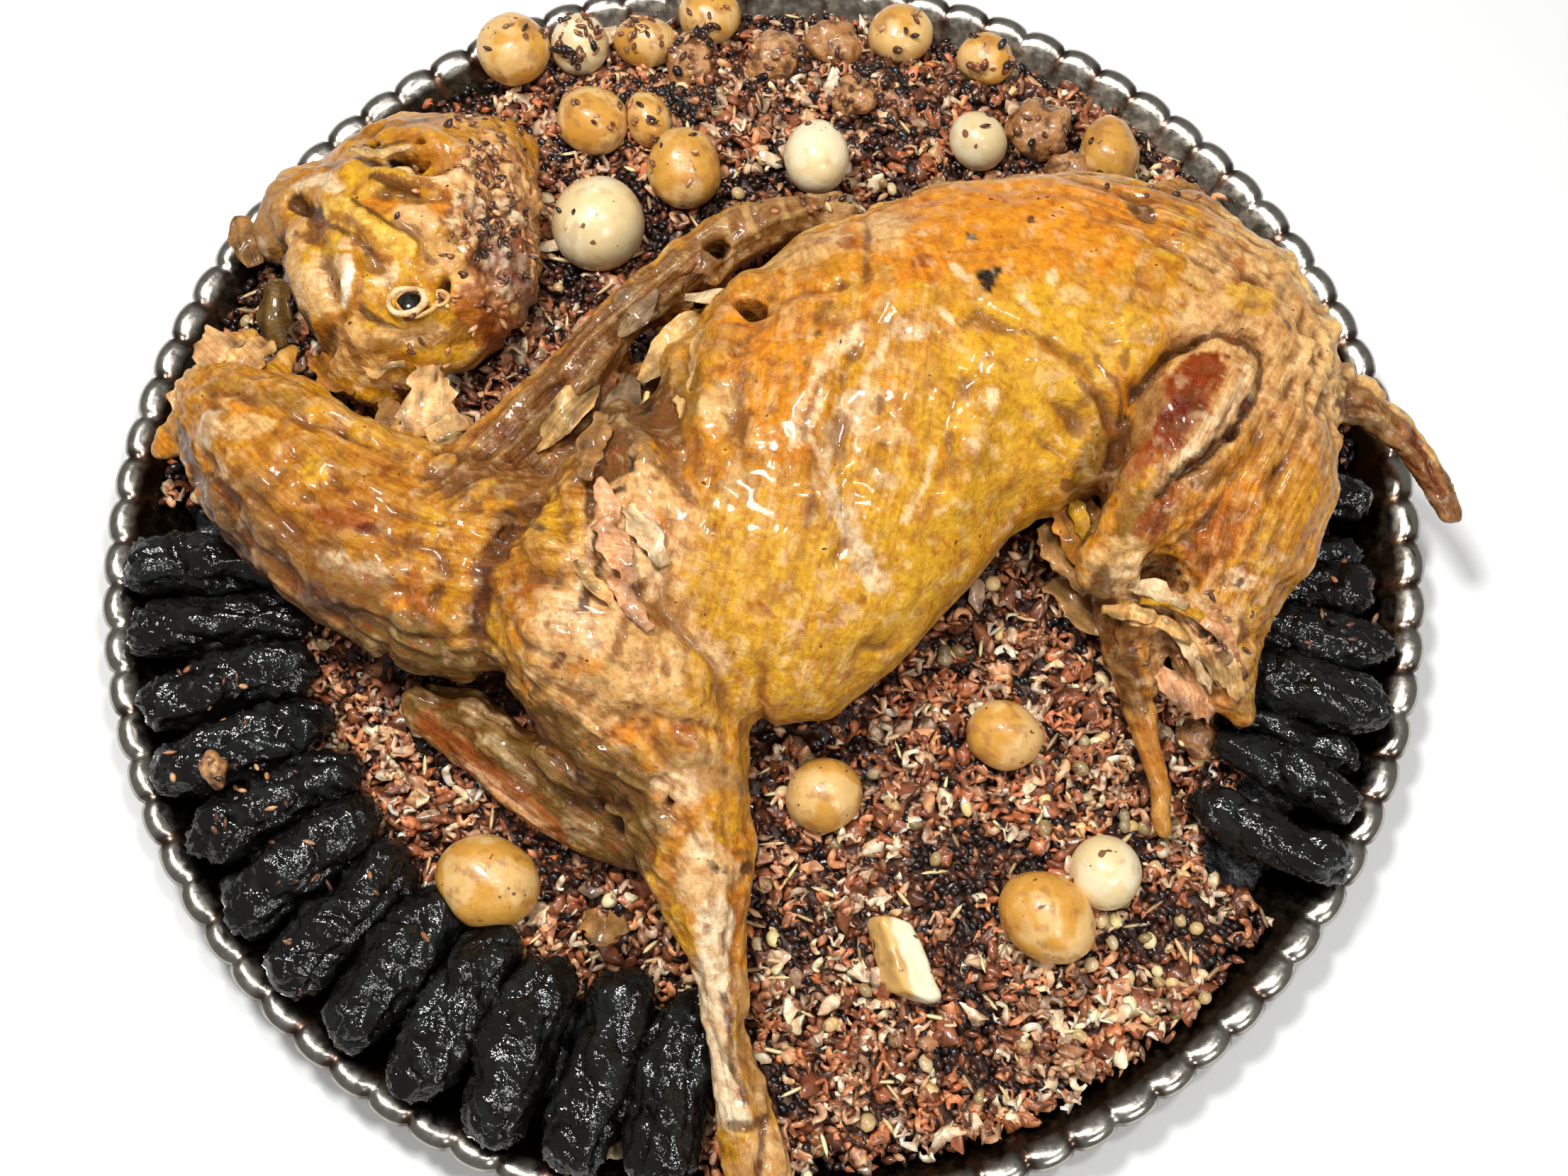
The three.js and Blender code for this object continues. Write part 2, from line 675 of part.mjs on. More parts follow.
const numbered = (stem, i) => `${stem}_${String(i + 1).padStart(2, "0")}`;
settle("lamb", lambSolid, "roast");
settle("lamb_head", headSolid, "roast");
rolls.forEach((stations, i) => {
  settle(numbered("black_roll", i), (grow) => loftSolid(stations, 7, 3, grow), "roll");
});
POTATOES.forEach((size, i) => {
  settle(numbered("potato", i), (grow) => lumpSolid(size, 0.025, 500 + i, 10, 6, grow), "potato");
});
EGGS.forEach((size, i) => {
  settle(numbered("egg", i), (grow) => lumpSolid(size, 0.004, 600 + i, 10, 6, grow), "egg");
});
CHUNKS.forEach((size, i) => {
  settle(numbered("meat_chunk", i), (grow) => lumpSolid(size, 0.09, 700 + i, 8, 5, grow), "meat");
});
settle("potato_wedge", wedgeSolid, "potato");

export default platter;
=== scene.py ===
# A festive platter of whole roast lamb on spiced rice: the looks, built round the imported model.
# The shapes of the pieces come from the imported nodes. Lengths are millimetres until a mesh is made.
import math

import bpy
import numpy as np
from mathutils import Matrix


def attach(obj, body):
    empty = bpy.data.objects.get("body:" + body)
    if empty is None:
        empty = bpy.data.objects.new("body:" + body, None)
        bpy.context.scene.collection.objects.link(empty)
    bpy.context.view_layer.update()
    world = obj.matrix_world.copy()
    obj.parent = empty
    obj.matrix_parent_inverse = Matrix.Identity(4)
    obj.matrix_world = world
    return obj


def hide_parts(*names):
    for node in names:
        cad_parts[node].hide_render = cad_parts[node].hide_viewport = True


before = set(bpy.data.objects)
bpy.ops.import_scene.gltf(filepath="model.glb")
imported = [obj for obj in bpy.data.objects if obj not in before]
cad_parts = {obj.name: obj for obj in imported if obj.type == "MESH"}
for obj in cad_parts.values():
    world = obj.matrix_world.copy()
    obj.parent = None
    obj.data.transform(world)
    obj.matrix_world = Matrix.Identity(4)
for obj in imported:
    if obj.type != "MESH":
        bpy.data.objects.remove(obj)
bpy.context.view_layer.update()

import openvdb as vdb
from mathutils import Vector
from mathutils.bvhtree import BVHTree

MM = 0.001

# Linear colours of the food
# the white of a painted highlight
PAINTED_HIGHLIGHT = (1.0, 0.92, 0.72)
BONE = (0.95, 0.76, 0.50)
CREAM = (0.93, 0.70, 0.40)
PALE = (0.80, 0.52, 0.20)
BEIGE = (0.74, 0.44, 0.17)
PINK = (0.78, 0.43, 0.22)
FLESH = (0.84, 0.53, 0.24)
IVORY = (0.74, 0.58, 0.36)
SILVER = (0.60, 0.46, 0.26)
YELLOW = (0.70, 0.38, 0.020)
SAFFRON = (0.64, 0.30, 0.016)
ORANGE = (0.78, 0.28, 0.014)
AMBER = (0.50, 0.20, 0.02)
RUST = (0.36, 0.085, 0.012)
BROWN = (0.22, 0.085, 0.02)
BARK = (0.19, 0.082, 0.022)
MAROON = (0.25, 0.040, 0.004)
BLOOD = (0.13, 0.016, 0.003)
TAN = (0.42, 0.22, 0.07)
OLIVE = (0.17, 0.095, 0.018)
GREY = (0.36, 0.25, 0.14)
UMBER = (0.07, 0.028, 0.010)
BLACK = (0.010, 0.008, 0.006)
GOLD = (0.90, 0.58, 0.10)
ASH = (0.62, 0.52, 0.40)
CHESTNUT = (0.40, 0.19, 0.045)
SEPIA = (0.30, 0.12, 0.025)

# Random lattices for smooth noise
LATTICE_SIZE = 64
rng = np.random.default_rng(11)
LATTICE = rng.random((LATTICE_SIZE, LATTICE_SIZE, LATTICE_SIZE)).astype("f4") * 2 - 1
TILT = np.linalg.qr(rng.normal(size=(3, 3)))[0]


def noise(points, size, seed=0):
    """Smooth noise from -1 to 1 at points, with features about size wide."""
    spot = points @ TILT / size + seed * 7.31
    cell = np.floor(spot).astype(int)
    part = spot - cell
    part = part * part * (3 - 2 * part)
    total = np.zeros(len(points))
    for corner in range(8):
        bits = np.array([corner & 1, corner >> 1 & 1, corner >> 2 & 1])
        share = np.prod(np.where(bits, part, 1 - part), axis=1)
        index = (cell + bits) % LATTICE_SIZE
        total += share * LATTICE[index[:, 0], index[:, 1], index[:, 2]]
    return total * 1.6


def rough_noise(points, size, seed=0, octaves=3):
    """Noise with finer noise added on it."""
    total = np.zeros(len(points))
    for i in range(octaves):
        total += noise(points, size / 2**i, seed + 5 * i) / 1.8**i
    return total


def smooth_step(low, high, value):
    t = np.clip((value - low) / (high - low), 0, 1)
    return t * t * (3 - 2 * t)


def bell(distance, width):
    return np.exp(-((distance / width) ** 2))


def path_length(path):
    return np.linalg.norm(np.diff(np.array(path), axis=0), axis=1).sum()


def stroke_distance(xy, path):
    """(distance to a broken line in plan, share of the way along it, signed side) for each point."""
    path = np.array(path, float)
    steps = np.linalg.norm(np.diff(path, axis=0), axis=1)
    total = steps.sum()
    best = np.full(len(xy), 1e9)
    along = np.zeros(len(xy))
    side = np.zeros(len(xy))
    run = 0
    for (ax, ay), (bx, by), length in zip(path[:-1], path[1:], steps):
        dx, dy = (bx - ax) / length, (by - ay) / length
        px, py = xy[:, 0] - ax, xy[:, 1] - ay
        t = np.clip(px * dx + py * dy, 0, length)
        distance = np.hypot(px - t * dx, py - t * dy)
        nearer = distance < best
        best = np.where(nearer, distance, best)
        along = np.where(nearer, (run + t) / total, along)
        side = np.where(nearer, py * dx - px * dy, side)
        run += length
    return best, along, side


def spot_distance(xy, x, y, length, width, turn=0):
    """Distance from a spot's centre in units of its own radii."""
    a = math.radians(turn)
    px, py = xy[:, 0] - x, xy[:, 1] - y
    u = px * math.cos(a) + py * math.sin(a)
    v = py * math.cos(a) - px * math.sin(a)
    return np.hypot(u / length, v / width)


# Meshes and their level sets
def node_mesh(name):
    """(points in mm, triangles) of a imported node."""
    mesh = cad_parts[name].data
    mesh.calc_loop_triangles()
    points = np.zeros(len(mesh.vertices) * 3, "f4")
    mesh.vertices.foreach_get("co", points)
    triangles = np.zeros(len(mesh.loop_triangles) * 3, "i4")
    mesh.loop_triangles.foreach_get("vertices", triangles)
    points, where = np.unique(points.reshape(-1, 3), axis=0, return_inverse=True)
    triangles = where.ravel()[triangles].reshape(-1, 3)
    proper = (triangles[:, 0] != triangles[:, 1]) & (triangles[:, 1] != triangles[:, 2])
    proper &= triangles[:, 0] != triangles[:, 2]
    return points / MM, triangles[proper]


BAND = 9  # half width of a level set's band, in voxels


def level_set(name, voxel):
    """(distances, lowest cell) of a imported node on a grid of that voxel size; negative inside."""
    points, triangles = node_mesh(name)
    transform = vdb.createLinearTransform(voxelSize=voxel)
    grid = vdb.FloatGrid.createLevelSetFromPolygons(
        points.astype("f4"), triangles=triangles.astype("u4"), transform=transform, halfWidth=BAND
    )
    low, high = grid.evalActiveVoxelBoundingBox()
    values = np.zeros([high[i] - low[i] + 1 for i in range(3)], "f4")
    grid.copyToArray(values, ijk=low)
    return values, low


def surface(values, low, voxel):
    """(points, quads) of the level set's zero surface, facing outwards."""
    grid = vdb.FloatGrid(BAND * voxel)
    grid.transform = vdb.createLinearTransform(voxelSize=voxel)
    grid.copyFromArray(values, ijk=low)
    points, quads = grid.convertToQuads(isovalue=0.0)[:2]
    points, quads = points.astype(float), quads.astype(int)
    a, b, c = (points[quads[:, i]] for i in range(3))
    if np.einsum("ij,ij->", a, np.cross(b, c)) < 0:
        quads = quads[:, ::-1]
    return points, quads


def blurred(values, passes):
    for _ in range(passes):
        for axis in range(3):
            values = 0.5 * values + 0.25 * (np.roll(values, 1, axis) + np.roll(values, -1, axis))
    return values


def cell_points(values, low, voxel):
    """Positions of the grid's cells in plan, and their heights."""
    xs = (np.arange(values.shape[0]) + low[0]) * voxel
    ys = (np.arange(values.shape[1]) + low[1]) * voxel
    zs = (np.arange(values.shape[2]) + low[2]) * voxel
    plan = np.stack(np.meshgrid(xs, ys, indexing="ij"), axis=-1).reshape(-1, 2)
    return plan, zs


def rounded(name, voxel, light, heavy=0, grow=0.0):
    """Level set of a node with its facets smoothed: heavily where it is bulky, lightly where thin."""
    values, low = level_set(name, voxel)
    soft = blurred(values, light)
    if heavy:
        bulk = blurred(np.clip(-values / (BAND * voxel), 0, 1), 24)
        softer = blurred(soft, heavy)
        soft = soft + (softer - soft) * smooth_step(0.12, 0.4, bulk)
    return soft - grow, low


def skin_of(name, voxel, light, grow):
    """(points, quads, normals) of a node's rounded surface."""
    values, low = rounded(name, voxel, light, grow=grow)
    points, quads = surface(values, low, voxel)
    return points, quads, normals_of(points, quads)


def tube_quads(rows, around, turned=False):
    """Quads between rows of points, each row a ring, with a cap over each end; turned the other way."""
    index = np.arange(rows * around).reshape(rows, around)
    far = np.roll(index, -1, 1)
    if turned:
        corners, rings = [index[:-1], index[1:], far[1:], far[:-1]], [index[0], index[-1][::-1]]
    else:
        corners, rings = [index[:-1], far[:-1], far[1:], index[1:]], [index[0][::-1], index[-1]]
    caps = []
    for ring in rings:
        for j in range(around // 2 - 1):
            caps.append([ring[j], ring[j + 1], ring[around - 2 - j], ring[around - 1 - j]])
    return np.concatenate([np.stack(corners, axis=-1).reshape(-1, 4), np.array(caps)])


def sides_of(middle):
    """Unit directions (sideways, up) at each point of a curve."""
    forward = np.gradient(middle, axis=0)
    forward /= np.linalg.norm(forward, axis=1, keepdims=True)
    side = np.cross(forward, (0, 0, 1.0))
    side /= np.linalg.norm(side, axis=1, keepdims=True)
    return side, np.cross(side, forward)


def edges_of(quads):
    return np.concatenate([quads[:, [i, (i + 1) % quads.shape[1]]] for i in range(quads.shape[1])])


def normals_of(points, quads):
    across = np.cross(points[quads[:, 2]] - points[quads[:, 0]], points[quads[:, -1]] - points[quads[:, 1]])
    total = np.zeros_like(points)
    for i in range(quads.shape[1]):
        np.add.at(total, quads[:, i], across)
    return total / np.maximum(np.linalg.norm(total, axis=1, keepdims=True), 1e-9)


def evened(field, edges, passes):
    """A field on the points, averaged with its neighbours several times over."""
    count = np.bincount(edges[:, 0], minlength=len(field)) + np.bincount(edges[:, 1], minlength=len(field))
    count = np.maximum(count, 1)
    if field.ndim == 2:
        return np.stack([evened(field[:, i], edges, passes) for i in range(field.shape[1])], axis=1)
    for _ in range(passes):
        total = np.bincount(edges[:, 0], field[edges[:, 1]], len(field))
        total += np.bincount(edges[:, 1], field[edges[:, 0]], len(field))
        field = total / count
    return field


def hollow_depth(points, quads, passes):
    """How far each point lies below the evened surface round it, in mm; negative on a rise."""
    edges = edges_of(quads)
    smooth = evened(points, edges, passes)
    return np.einsum("ij,ij->i", smooth - points, normals_of(points, quads))


# Objects
def make_object(name, points, faces, material, tones=None, stands_for=(), flow=None):
    """A mesh object on the tray. flow is (stretched coordinates, weight) of the fibres at each point."""
    mesh = bpy.data.meshes.new(name)
    corners = faces.shape[1]
    mesh.vertices.add(len(points))
    mesh.vertices.foreach_set("co", (points * MM).astype("f4").ravel())
    mesh.loops.add(faces.size)
    mesh.loops.foreach_set("vertex_index", faces.astype("i4").ravel())
    mesh.polygons.add(len(faces))
    mesh.polygons.foreach_set("loop_start", np.arange(0, faces.size, corners, dtype="i4"))
    mesh.update(calc_edges=True)
    mesh.polygons.foreach_set("use_smooth", np.ones(len(faces), bool))
    if tones is not None:
        colours = np.ones((len(points), 4), "f4")
        colours[:, :3] = np.clip(tones, 0, 1)
        mesh.attributes.new("tone", "FLOAT_COLOR", "POINT").data.foreach_set("color", colours.ravel())
    if flow is not None:
        vectors, weight = mesh.attributes.new("flow", "FLOAT_VECTOR", "POINT"), flow[1].astype("f4")
        vectors.data.foreach_set("vector", flow[0].astype("f4").ravel())
        mesh.attributes.new("fibre", "FLOAT", "POINT").data.foreach_set("value", weight)
    mesh.materials.append(material)
    mesh.validate()
    piece = bpy.data.objects.new(name, mesh)
    bpy.context.scene.collection.objects.link(piece)
    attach(piece, "root")
    if stands_for:
        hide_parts(*stands_for)


def joined_meshes(parts):
    """One (points, faces, tones) from several with faces of the same number of corners."""
    offsets = np.cumsum([0] + [len(points) for points, _, _ in parts[:-1]])
    points = np.concatenate([p for p, _, _ in parts])
    faces = np.concatenate([f + offset for (_, f, _), offset in zip(parts, offsets)])
    tones = np.concatenate([t for _, _, t in parts])
    return points, faces, tones


# Materials
COAT_ROUGHNESS = 0.09
THREAD_LIGHT = (1.2, 1.3, 1.6)  # factors of the pale threads of a fibre
FLESH_RADIUS = (1.0, 0.45, 0.2)
FLESH_DEPTH = 4 * MM


def food_material(
    name, mottle, dark, mottle_size, bumps, roughness, coat=0.3, specular=0.5, subsurface=0.0,
    spots=None, fibre=None, flecks=None,
):
    """Wet cooked food: its tone attribute, mottled towards a darker share, over bumps [size, height].

    spots is (size, amount, colour) of dark specks, fibre is (darkening, height) of the threads along
    the flow attribute, and flecks is (size, amount, factors) of patches that are paler by those
    factors. Sizes are in mm."""
    material = bpy.data.materials.new(name)
    material.use_nodes = True
    tree = material.node_tree
    nodes, links = tree.nodes, tree.links
    shader = nodes["Principled BSDF"]
    where = nodes.new("ShaderNodeTexCoord").outputs["Object"]

    def attribute(key, output):
        node = nodes.new("ShaderNodeAttribute")
        node.attribute_name = key
        return node.outputs[output]

    def noise_at(size, detail, vector=where, distortion=0.0):
        texture = nodes.new("ShaderNodeTexNoise")
        texture.inputs["Scale"].default_value = 1 / (size * MM) if vector == where else 1 / size
        texture.inputs["Detail"].default_value = detail
        texture.inputs["Distortion"].default_value = distortion
        links.new(vector, texture.inputs["Vector"])
        return texture.outputs["Fac"]

    def mapped(source, low, high, to_low, to_high):
        ramp = nodes.new("ShaderNodeMapRange")
        for key, value in zip(("From Min", "From Max", "To Min", "To Max"), (low, high, to_low, to_high)):
            ramp.inputs[key].default_value = value
        links.new(source, ramp.inputs["Value"])
        return ramp.outputs["Result"]

    def product(first, second):
        node = nodes.new("ShaderNodeMath")
        node.operation = "MULTIPLY"
        links.new(first, node.inputs[0])
        links.new(second, node.inputs[1])
        return node.outputs["Value"]

    def mixed(factor, first, second, how="MIX"):
        mix = nodes.new("ShaderNodeMix")
        mix.data_type = "RGBA"
        mix.blend_type = how
        links.new(factor, mix.inputs["Factor"])
        for value, socket in ((first, mix.inputs["A"]), (second, mix.inputs["B"])):
            if isinstance(value, tuple):
                socket.default_value = (*value, 1)
            else:
                links.new(value, socket)
        return mix.outputs["Result"]

    def bumped(height_source, height, normal, strength=None):
        bump = nodes.new("ShaderNodeBump")
        bump.inputs["Distance"].default_value = height * MM
        links.new(height_source, bump.inputs["Height"])
        if strength:
            links.new(strength, bump.inputs["Strength"])
        if normal:
            links.new(normal, bump.inputs["Normal"])
        return bump.outputs["Normal"]

    patches = mapped(noise_at(mottle_size, 6, distortion=0.8), 0.42, 0.62, 0, mottle)
    colour = mixed(patches, attribute("tone", "Color"), dark, "MULTIPLY")
    grit = mapped(noise_at(mottle_size / 4, 5, distortion=0.4), 0.45, 0.65, 0, 0.7 * mottle)
    colour = mixed(grit, colour, dark, "MULTIPLY")
    normal = None
    if flecks:
        size, amount, fleck_colour = flecks
        fleck = mapped(noise_at(size, 5, distortion=0.6), 0.56, 0.66, 0, amount)
        colour = mixed(fleck, colour, fleck_colour, "MULTIPLY")
    if fibre:
        darkening, height = fibre
        thread = noise_at(1.0, 4, attribute("flow", "Vector"))
        weight = attribute("fibre", "Fac")
        dark_threads = product(mapped(thread, 0.45, 0.72, 0, darkening), weight)
        colour = mixed(dark_threads, colour, dark, "MULTIPLY")
        pale_threads = product(mapped(thread, 0.42, 0.28, 0, darkening), weight)
        colour = mixed(pale_threads, colour, THREAD_LIGHT, "MULTIPLY")
        normal = bumped(thread, height, normal, weight)
    if spots:
        size, amount, spot_colour = spots
        speck = mapped(noise_at(size, 1), 1 - amount, 1 - amount + 0.03, 0, 1)
        colour = mixed(speck, colour, spot_colour)
    links.new(colour, shader.inputs["Base Color"])
    links.new(mapped(noise_at(mottle_size * 0.6, 3), 0.35, 0.65, *roughness), shader.inputs["Roughness"])
    for size, height in bumps:
        normal = bumped(noise_at(size, 3), height, normal)
    links.new(normal, shader.inputs["Normal"])
    shader.inputs["Specular IOR Level"].default_value = specular
    shader.inputs["Coat Weight"].default_value = coat
    shader.inputs["Coat Roughness"].default_value = COAT_ROUGHNESS
    if subsurface:
        shader.inputs["Subsurface Weight"].default_value = subsurface
        shader.inputs["Subsurface Radius"].default_value = FLESH_RADIUS
        shader.inputs["Subsurface Scale"].default_value = FLESH_DEPTH
    return material


def flat_tones(points, colour):
    return np.tile(np.array(colour, float), (len(points), 1))


def paint(tones, colour, strength):
    """Tones pulled towards a colour, by a strength from 0 to 1 at each point."""
    share = np.clip(strength, 0, 1)[:, None]
    return tones * (1 - share) + np.array(colour) * share


def mottled(points, tones, layers):
    """Tones with patches of rough noise, each layer (colour, strength, low, high, size, seed)."""
    for colour, strength, low, high, size, seed in layers:
        tones = paint(tones, colour, strength * smooth_step(low, high, rough_noise(points, size, seed)))
    return tones


def with_painted_shade(points, quads, tones, passes, rise, under, up):
    """Tones with painted shade, darker in grooves and where up is low, and with a painted highlight, paler on
    rises.
    """
    sunk = hollow_depth(points, quads, passes)
    # painted shade in the grooves, brown and then umber as they deepen
    tones = paint(tones, BROWN, 0.75 * smooth_step(0.12, 0.95, sunk))
    tones = paint(tones, UMBER, 0.85 * smooth_step(0.95, 2.4, sunk))
    # painted highlight on the rises
    tones = paint(tones, PALE, rise * smooth_step(0.4, 1.6, -sunk))
    # painted shade underneath, where the surface faces down
    return paint(tones, BROWN, under * smooth_step(0.15, -0.4, up))


# The lamb
LAMB_VOXEL = 1.8

# Grooves and folds in its upper side, in plan: (depth, width, points); a negative depth is a ridge
LAMB_STROKES = [
    # neck: folds along its lower edge, and the line where it meets the shoulder
    (4.5, 5, [(-277, 18), (-262, -7), (-246, -29), (-228, -46), (-208, -62), (-186, -75), (-172, -81)]),
    (4.0, 4, [(-286, 12), (-272, -14), (-253, -37), (-236, -53), (-213, -69), (-188, -84)]),
    (-2.5, 6, [(-268, 2), (-250, -20), (-232, -36), (-212, -50), (-190, -62), (-170, -66)]),
    (3.0, 4, [(-256, 2), (-238, -16), (-222, -28), (-200, -34), (-178, -38)]),
    (9.0, 8, [(-110, -16), (-120, -32), (-128, -47), (-134, -62), (-136, -76), (-135, -91), (-116, -111)]),
    (3.5, 4, [(-278, 52), (-259, 52), (-239, 38), (-214, 30), (-190, 18), (-168, 10)]),
    (-3.0, 6, [(-270, 62), (-245, 56), (-222, 46), (-196, 34), (-170, 22)]),
    (3.0, 5, [(-230, 12), (-222, -8), (-206, -20)]),
    (3.0, 4, [(-172, -58), (-180, -70), (-184, -82)]),
    (-3.0, 7, [(-160, -50), (-166, -64), (-170, -80)]),
    (3.0, 5, [(-152, -44), (-154, -60), (-150, -80)]),
    # strap of muscle across the open chest
    (3.5, 3.5, [(-146, 4), (-122, 34), (-100, 58), (-72, 86), (-40, 118), (-4, 146)]),
    (-2.0, 4, [(-138, 14), (-112, 44), (-86, 72), (-56, 100), (-20, 134)]),
    (3.0, 3.5, [(-130, 30), (-104, 58), (-78, 84), (-48, 112), (-14, 142)]),
    # edge of the ribs beside the opening, rolled over
    (-5.0, 6, [(-22, 82), (-19, 66), (-18, 46), (-24, 28), (-30, 12)]),
    (6.0, 6, [(-32, 82), (-34, 60), (-34, 40), (-42, 16)]),
    (4.0, 5, [(-8, 40), (-10, 22), (-12, 6)]),
    (3.0, 4, [(-44, -4), (-32, -20), (-24, -36)]),
    # side of the chest, shoulder and forearm
    (3.0, 5, [(-102, -10), (-92, -30), (-88, -52)]),
    (3.5, 4, [(-76, -10), (-82, -34), (-76, -60)]),
    (2.5, 4, [(-60, -40), (-56, -62), (-62, -80)]),
    (7.0, 8, [(-135, -79), (-121, -103), (-100, -126), (-84, -144), (-67, -157)]),
    (5.0, 5, [(-3, -96), (-2, -118), (-3, -140), (-6, -160)]),
    (3.0, 4, [(-60, -118), (-42, -124), (-22, -122)]),
    (2.5, 4, [(-74, -100), (-58, -104), (-40, -98), (-28, -104)]),
    (-2.5, 6, [(30, 50), (22, 20), (14, -8), (8, -40)]),
    (3.5, 5, [(44, 50), (38, 22), (36, -6), (40, -36), (30, -60)]),
    (-2.0, 5, [(62, 76), (52, 58), (38, 36), (30, 14)]),
    (-2.0, 5, [(74, 74), (62, 52), (52, 30)]),
    (2.0, 4, [(56, 70), (46, 50), (36, 28)]),
    (2.0, 5, [(20, -96), (14, -70), (18, -44)]),
    (2.5, 4, [(26, -100), (44, -90), (62, -78)]),
    # seam and folds over the ribs
    (2.5, 3, [(50, 150), (51, 126), (50, 104), (48, 86)]),
    (3.0, 4, [(-4, 92), (12, 84), (30, 84), (48, 92)]),
    (2.5, 4, [(93, 64), (102, 68), (113, 64)]),
    (4.0, 5, [(118, 62), (130, 61), (142, 54), (156, 42), (166, 28), (172, 15)]),
    (-2.5, 7, [(110, 52), (128, 52), (146, 42), (158, 26), (160, 8)]),
    (-2.5, 8, [(108, 42), (107, 20), (100, 0), (96, -18)]),
    (2.0, 5, [(92, 34), (92, 12), (86, -10)]),
    # flank: wrinkles that gather where the leg meets the belly
    (3.0, 4, [(170, 8), (150, 20), (136, 30)]),
    (2.5, 3, [(168, 2), (148, 6), (132, 12)]),
    (2.5, 3, [(165, -6), (148, -10), (134, -10)]),
    (3.0, 4, [(172, 16), (160, 34), (152, 50)]),
    (2.5, 4, [(162, -14), (148, -24), (136, -32)]),
    (7.0, 7, [(209, 61), (193, 50), (184, 39), (177, 24), (170, 9), (163, -13), (156, -27)]),
    # thigh: the groove round its muscle, and the hollow behind the knee
    (7.0, 3.2, [(172, 8), (182, 38), (200, 57), (218, 66), (236, 63), (244, 51), (236, 31), (218, 9),
                (190, -15)]),
    (2.0, 4, [(262, 60), (252, 36), (238, 12), (222, -8)]),
    (2.5, 4, [(278, 52), (266, 24), (248, -4), (232, -28)]),
    (-2.0, 5, [(270, 60), (258, 30), (240, 4), (226, -16)]),
    (4.0, 5, [(182, 142), (192, 126), (198, 110)]),
    (2.5, 4, [(240, 140), (262, 122), (280, 100)]),
    (2.5, 4, [(210, 120), (230, 104), (252, 84)]),
    (3.5, 4, [(176, -52), (192, -54), (210, -62), (222, -72)]),
    (3.0, 4, [(214, -66), (226, -84), (236, -98)]),
    (3.0, 4, [(200, -60), (206, -78), (216, -90)]),
    (2.5, 3, [(300, 62), (318, 52), (334, 34), (350, 12)]),
    # foreleg: knee joint, tendon beside the bone, split hoof
    (2.5, 4, [(-50, -150), (-36, -164), (-26, -180)]),
    (3.0, 4, [(-8, -168), (-12, -186), (-16, -206)]),
    (3.0, 3, [(-16, -214), (-13, -244), (-8, -274), (-2, -300)]),
    (4.0, 3, [(0, -298), (-3, -316), (-5, -334)]),
    # skirt of dark membrane below the neck
    (3.0, 4, [(-160, -98), (-136, -114), (-112, -136), (-88, -154)]),
    (-2.5, 4, [(-168, -94), (-144, -108), (-120, -128), (-96, -148)]),
    (2.5, 3, [(-156, -106), (-134, -124), (-112, -144)]),
]

# Hollows and bumps: (depth, length, width, turn, x, y); a negative depth is a bump
LAMB_HOLLOWS = [
    (22, 9, 5, -30, -4, 82),
    (14, 6, 5, 0, -32, 112),
    (12, 5, 5, 0, -24, 134),
    (12, 24, 12, 45, -56, 84),
    (10, 14, 22, 0, -54, 40),
    (8, 12, 20, 10, -40, 12),
    (14, 8, 8, 0, 194, -42),
    (8, 5, 5, 0, 206, -48),
    (4, 8, 6, 30, -72, -149),
    (6, 10, 6, 0, 160, -6),
    (-3.5, 9, 8, 0, 109, 27),
    (-3.5, 8, 8, 0, 100, 4),
    (-3, 10, 10, 0, 92, -18),
    (-4, 12, 9, -30, -96, -46),
    (-3, 10, 12, 0, -60, -84),
    (-4, 18, 14, -35, -192, -44),
    (-3, 22, 10, -20, -205, -18),
    (-3, 12, 9, 30, -222, 4),
    (5, 8, 6, 0, -74, -6),
    (3.5, 3.0, 3.0, 0, -42, -157),
    (3.5, 3.0, 3.0, 0, -23, -187),
    (-4, 8, 6, 0, 215, -32),
    (-4, 9, 7, 20, 222, -80),
]

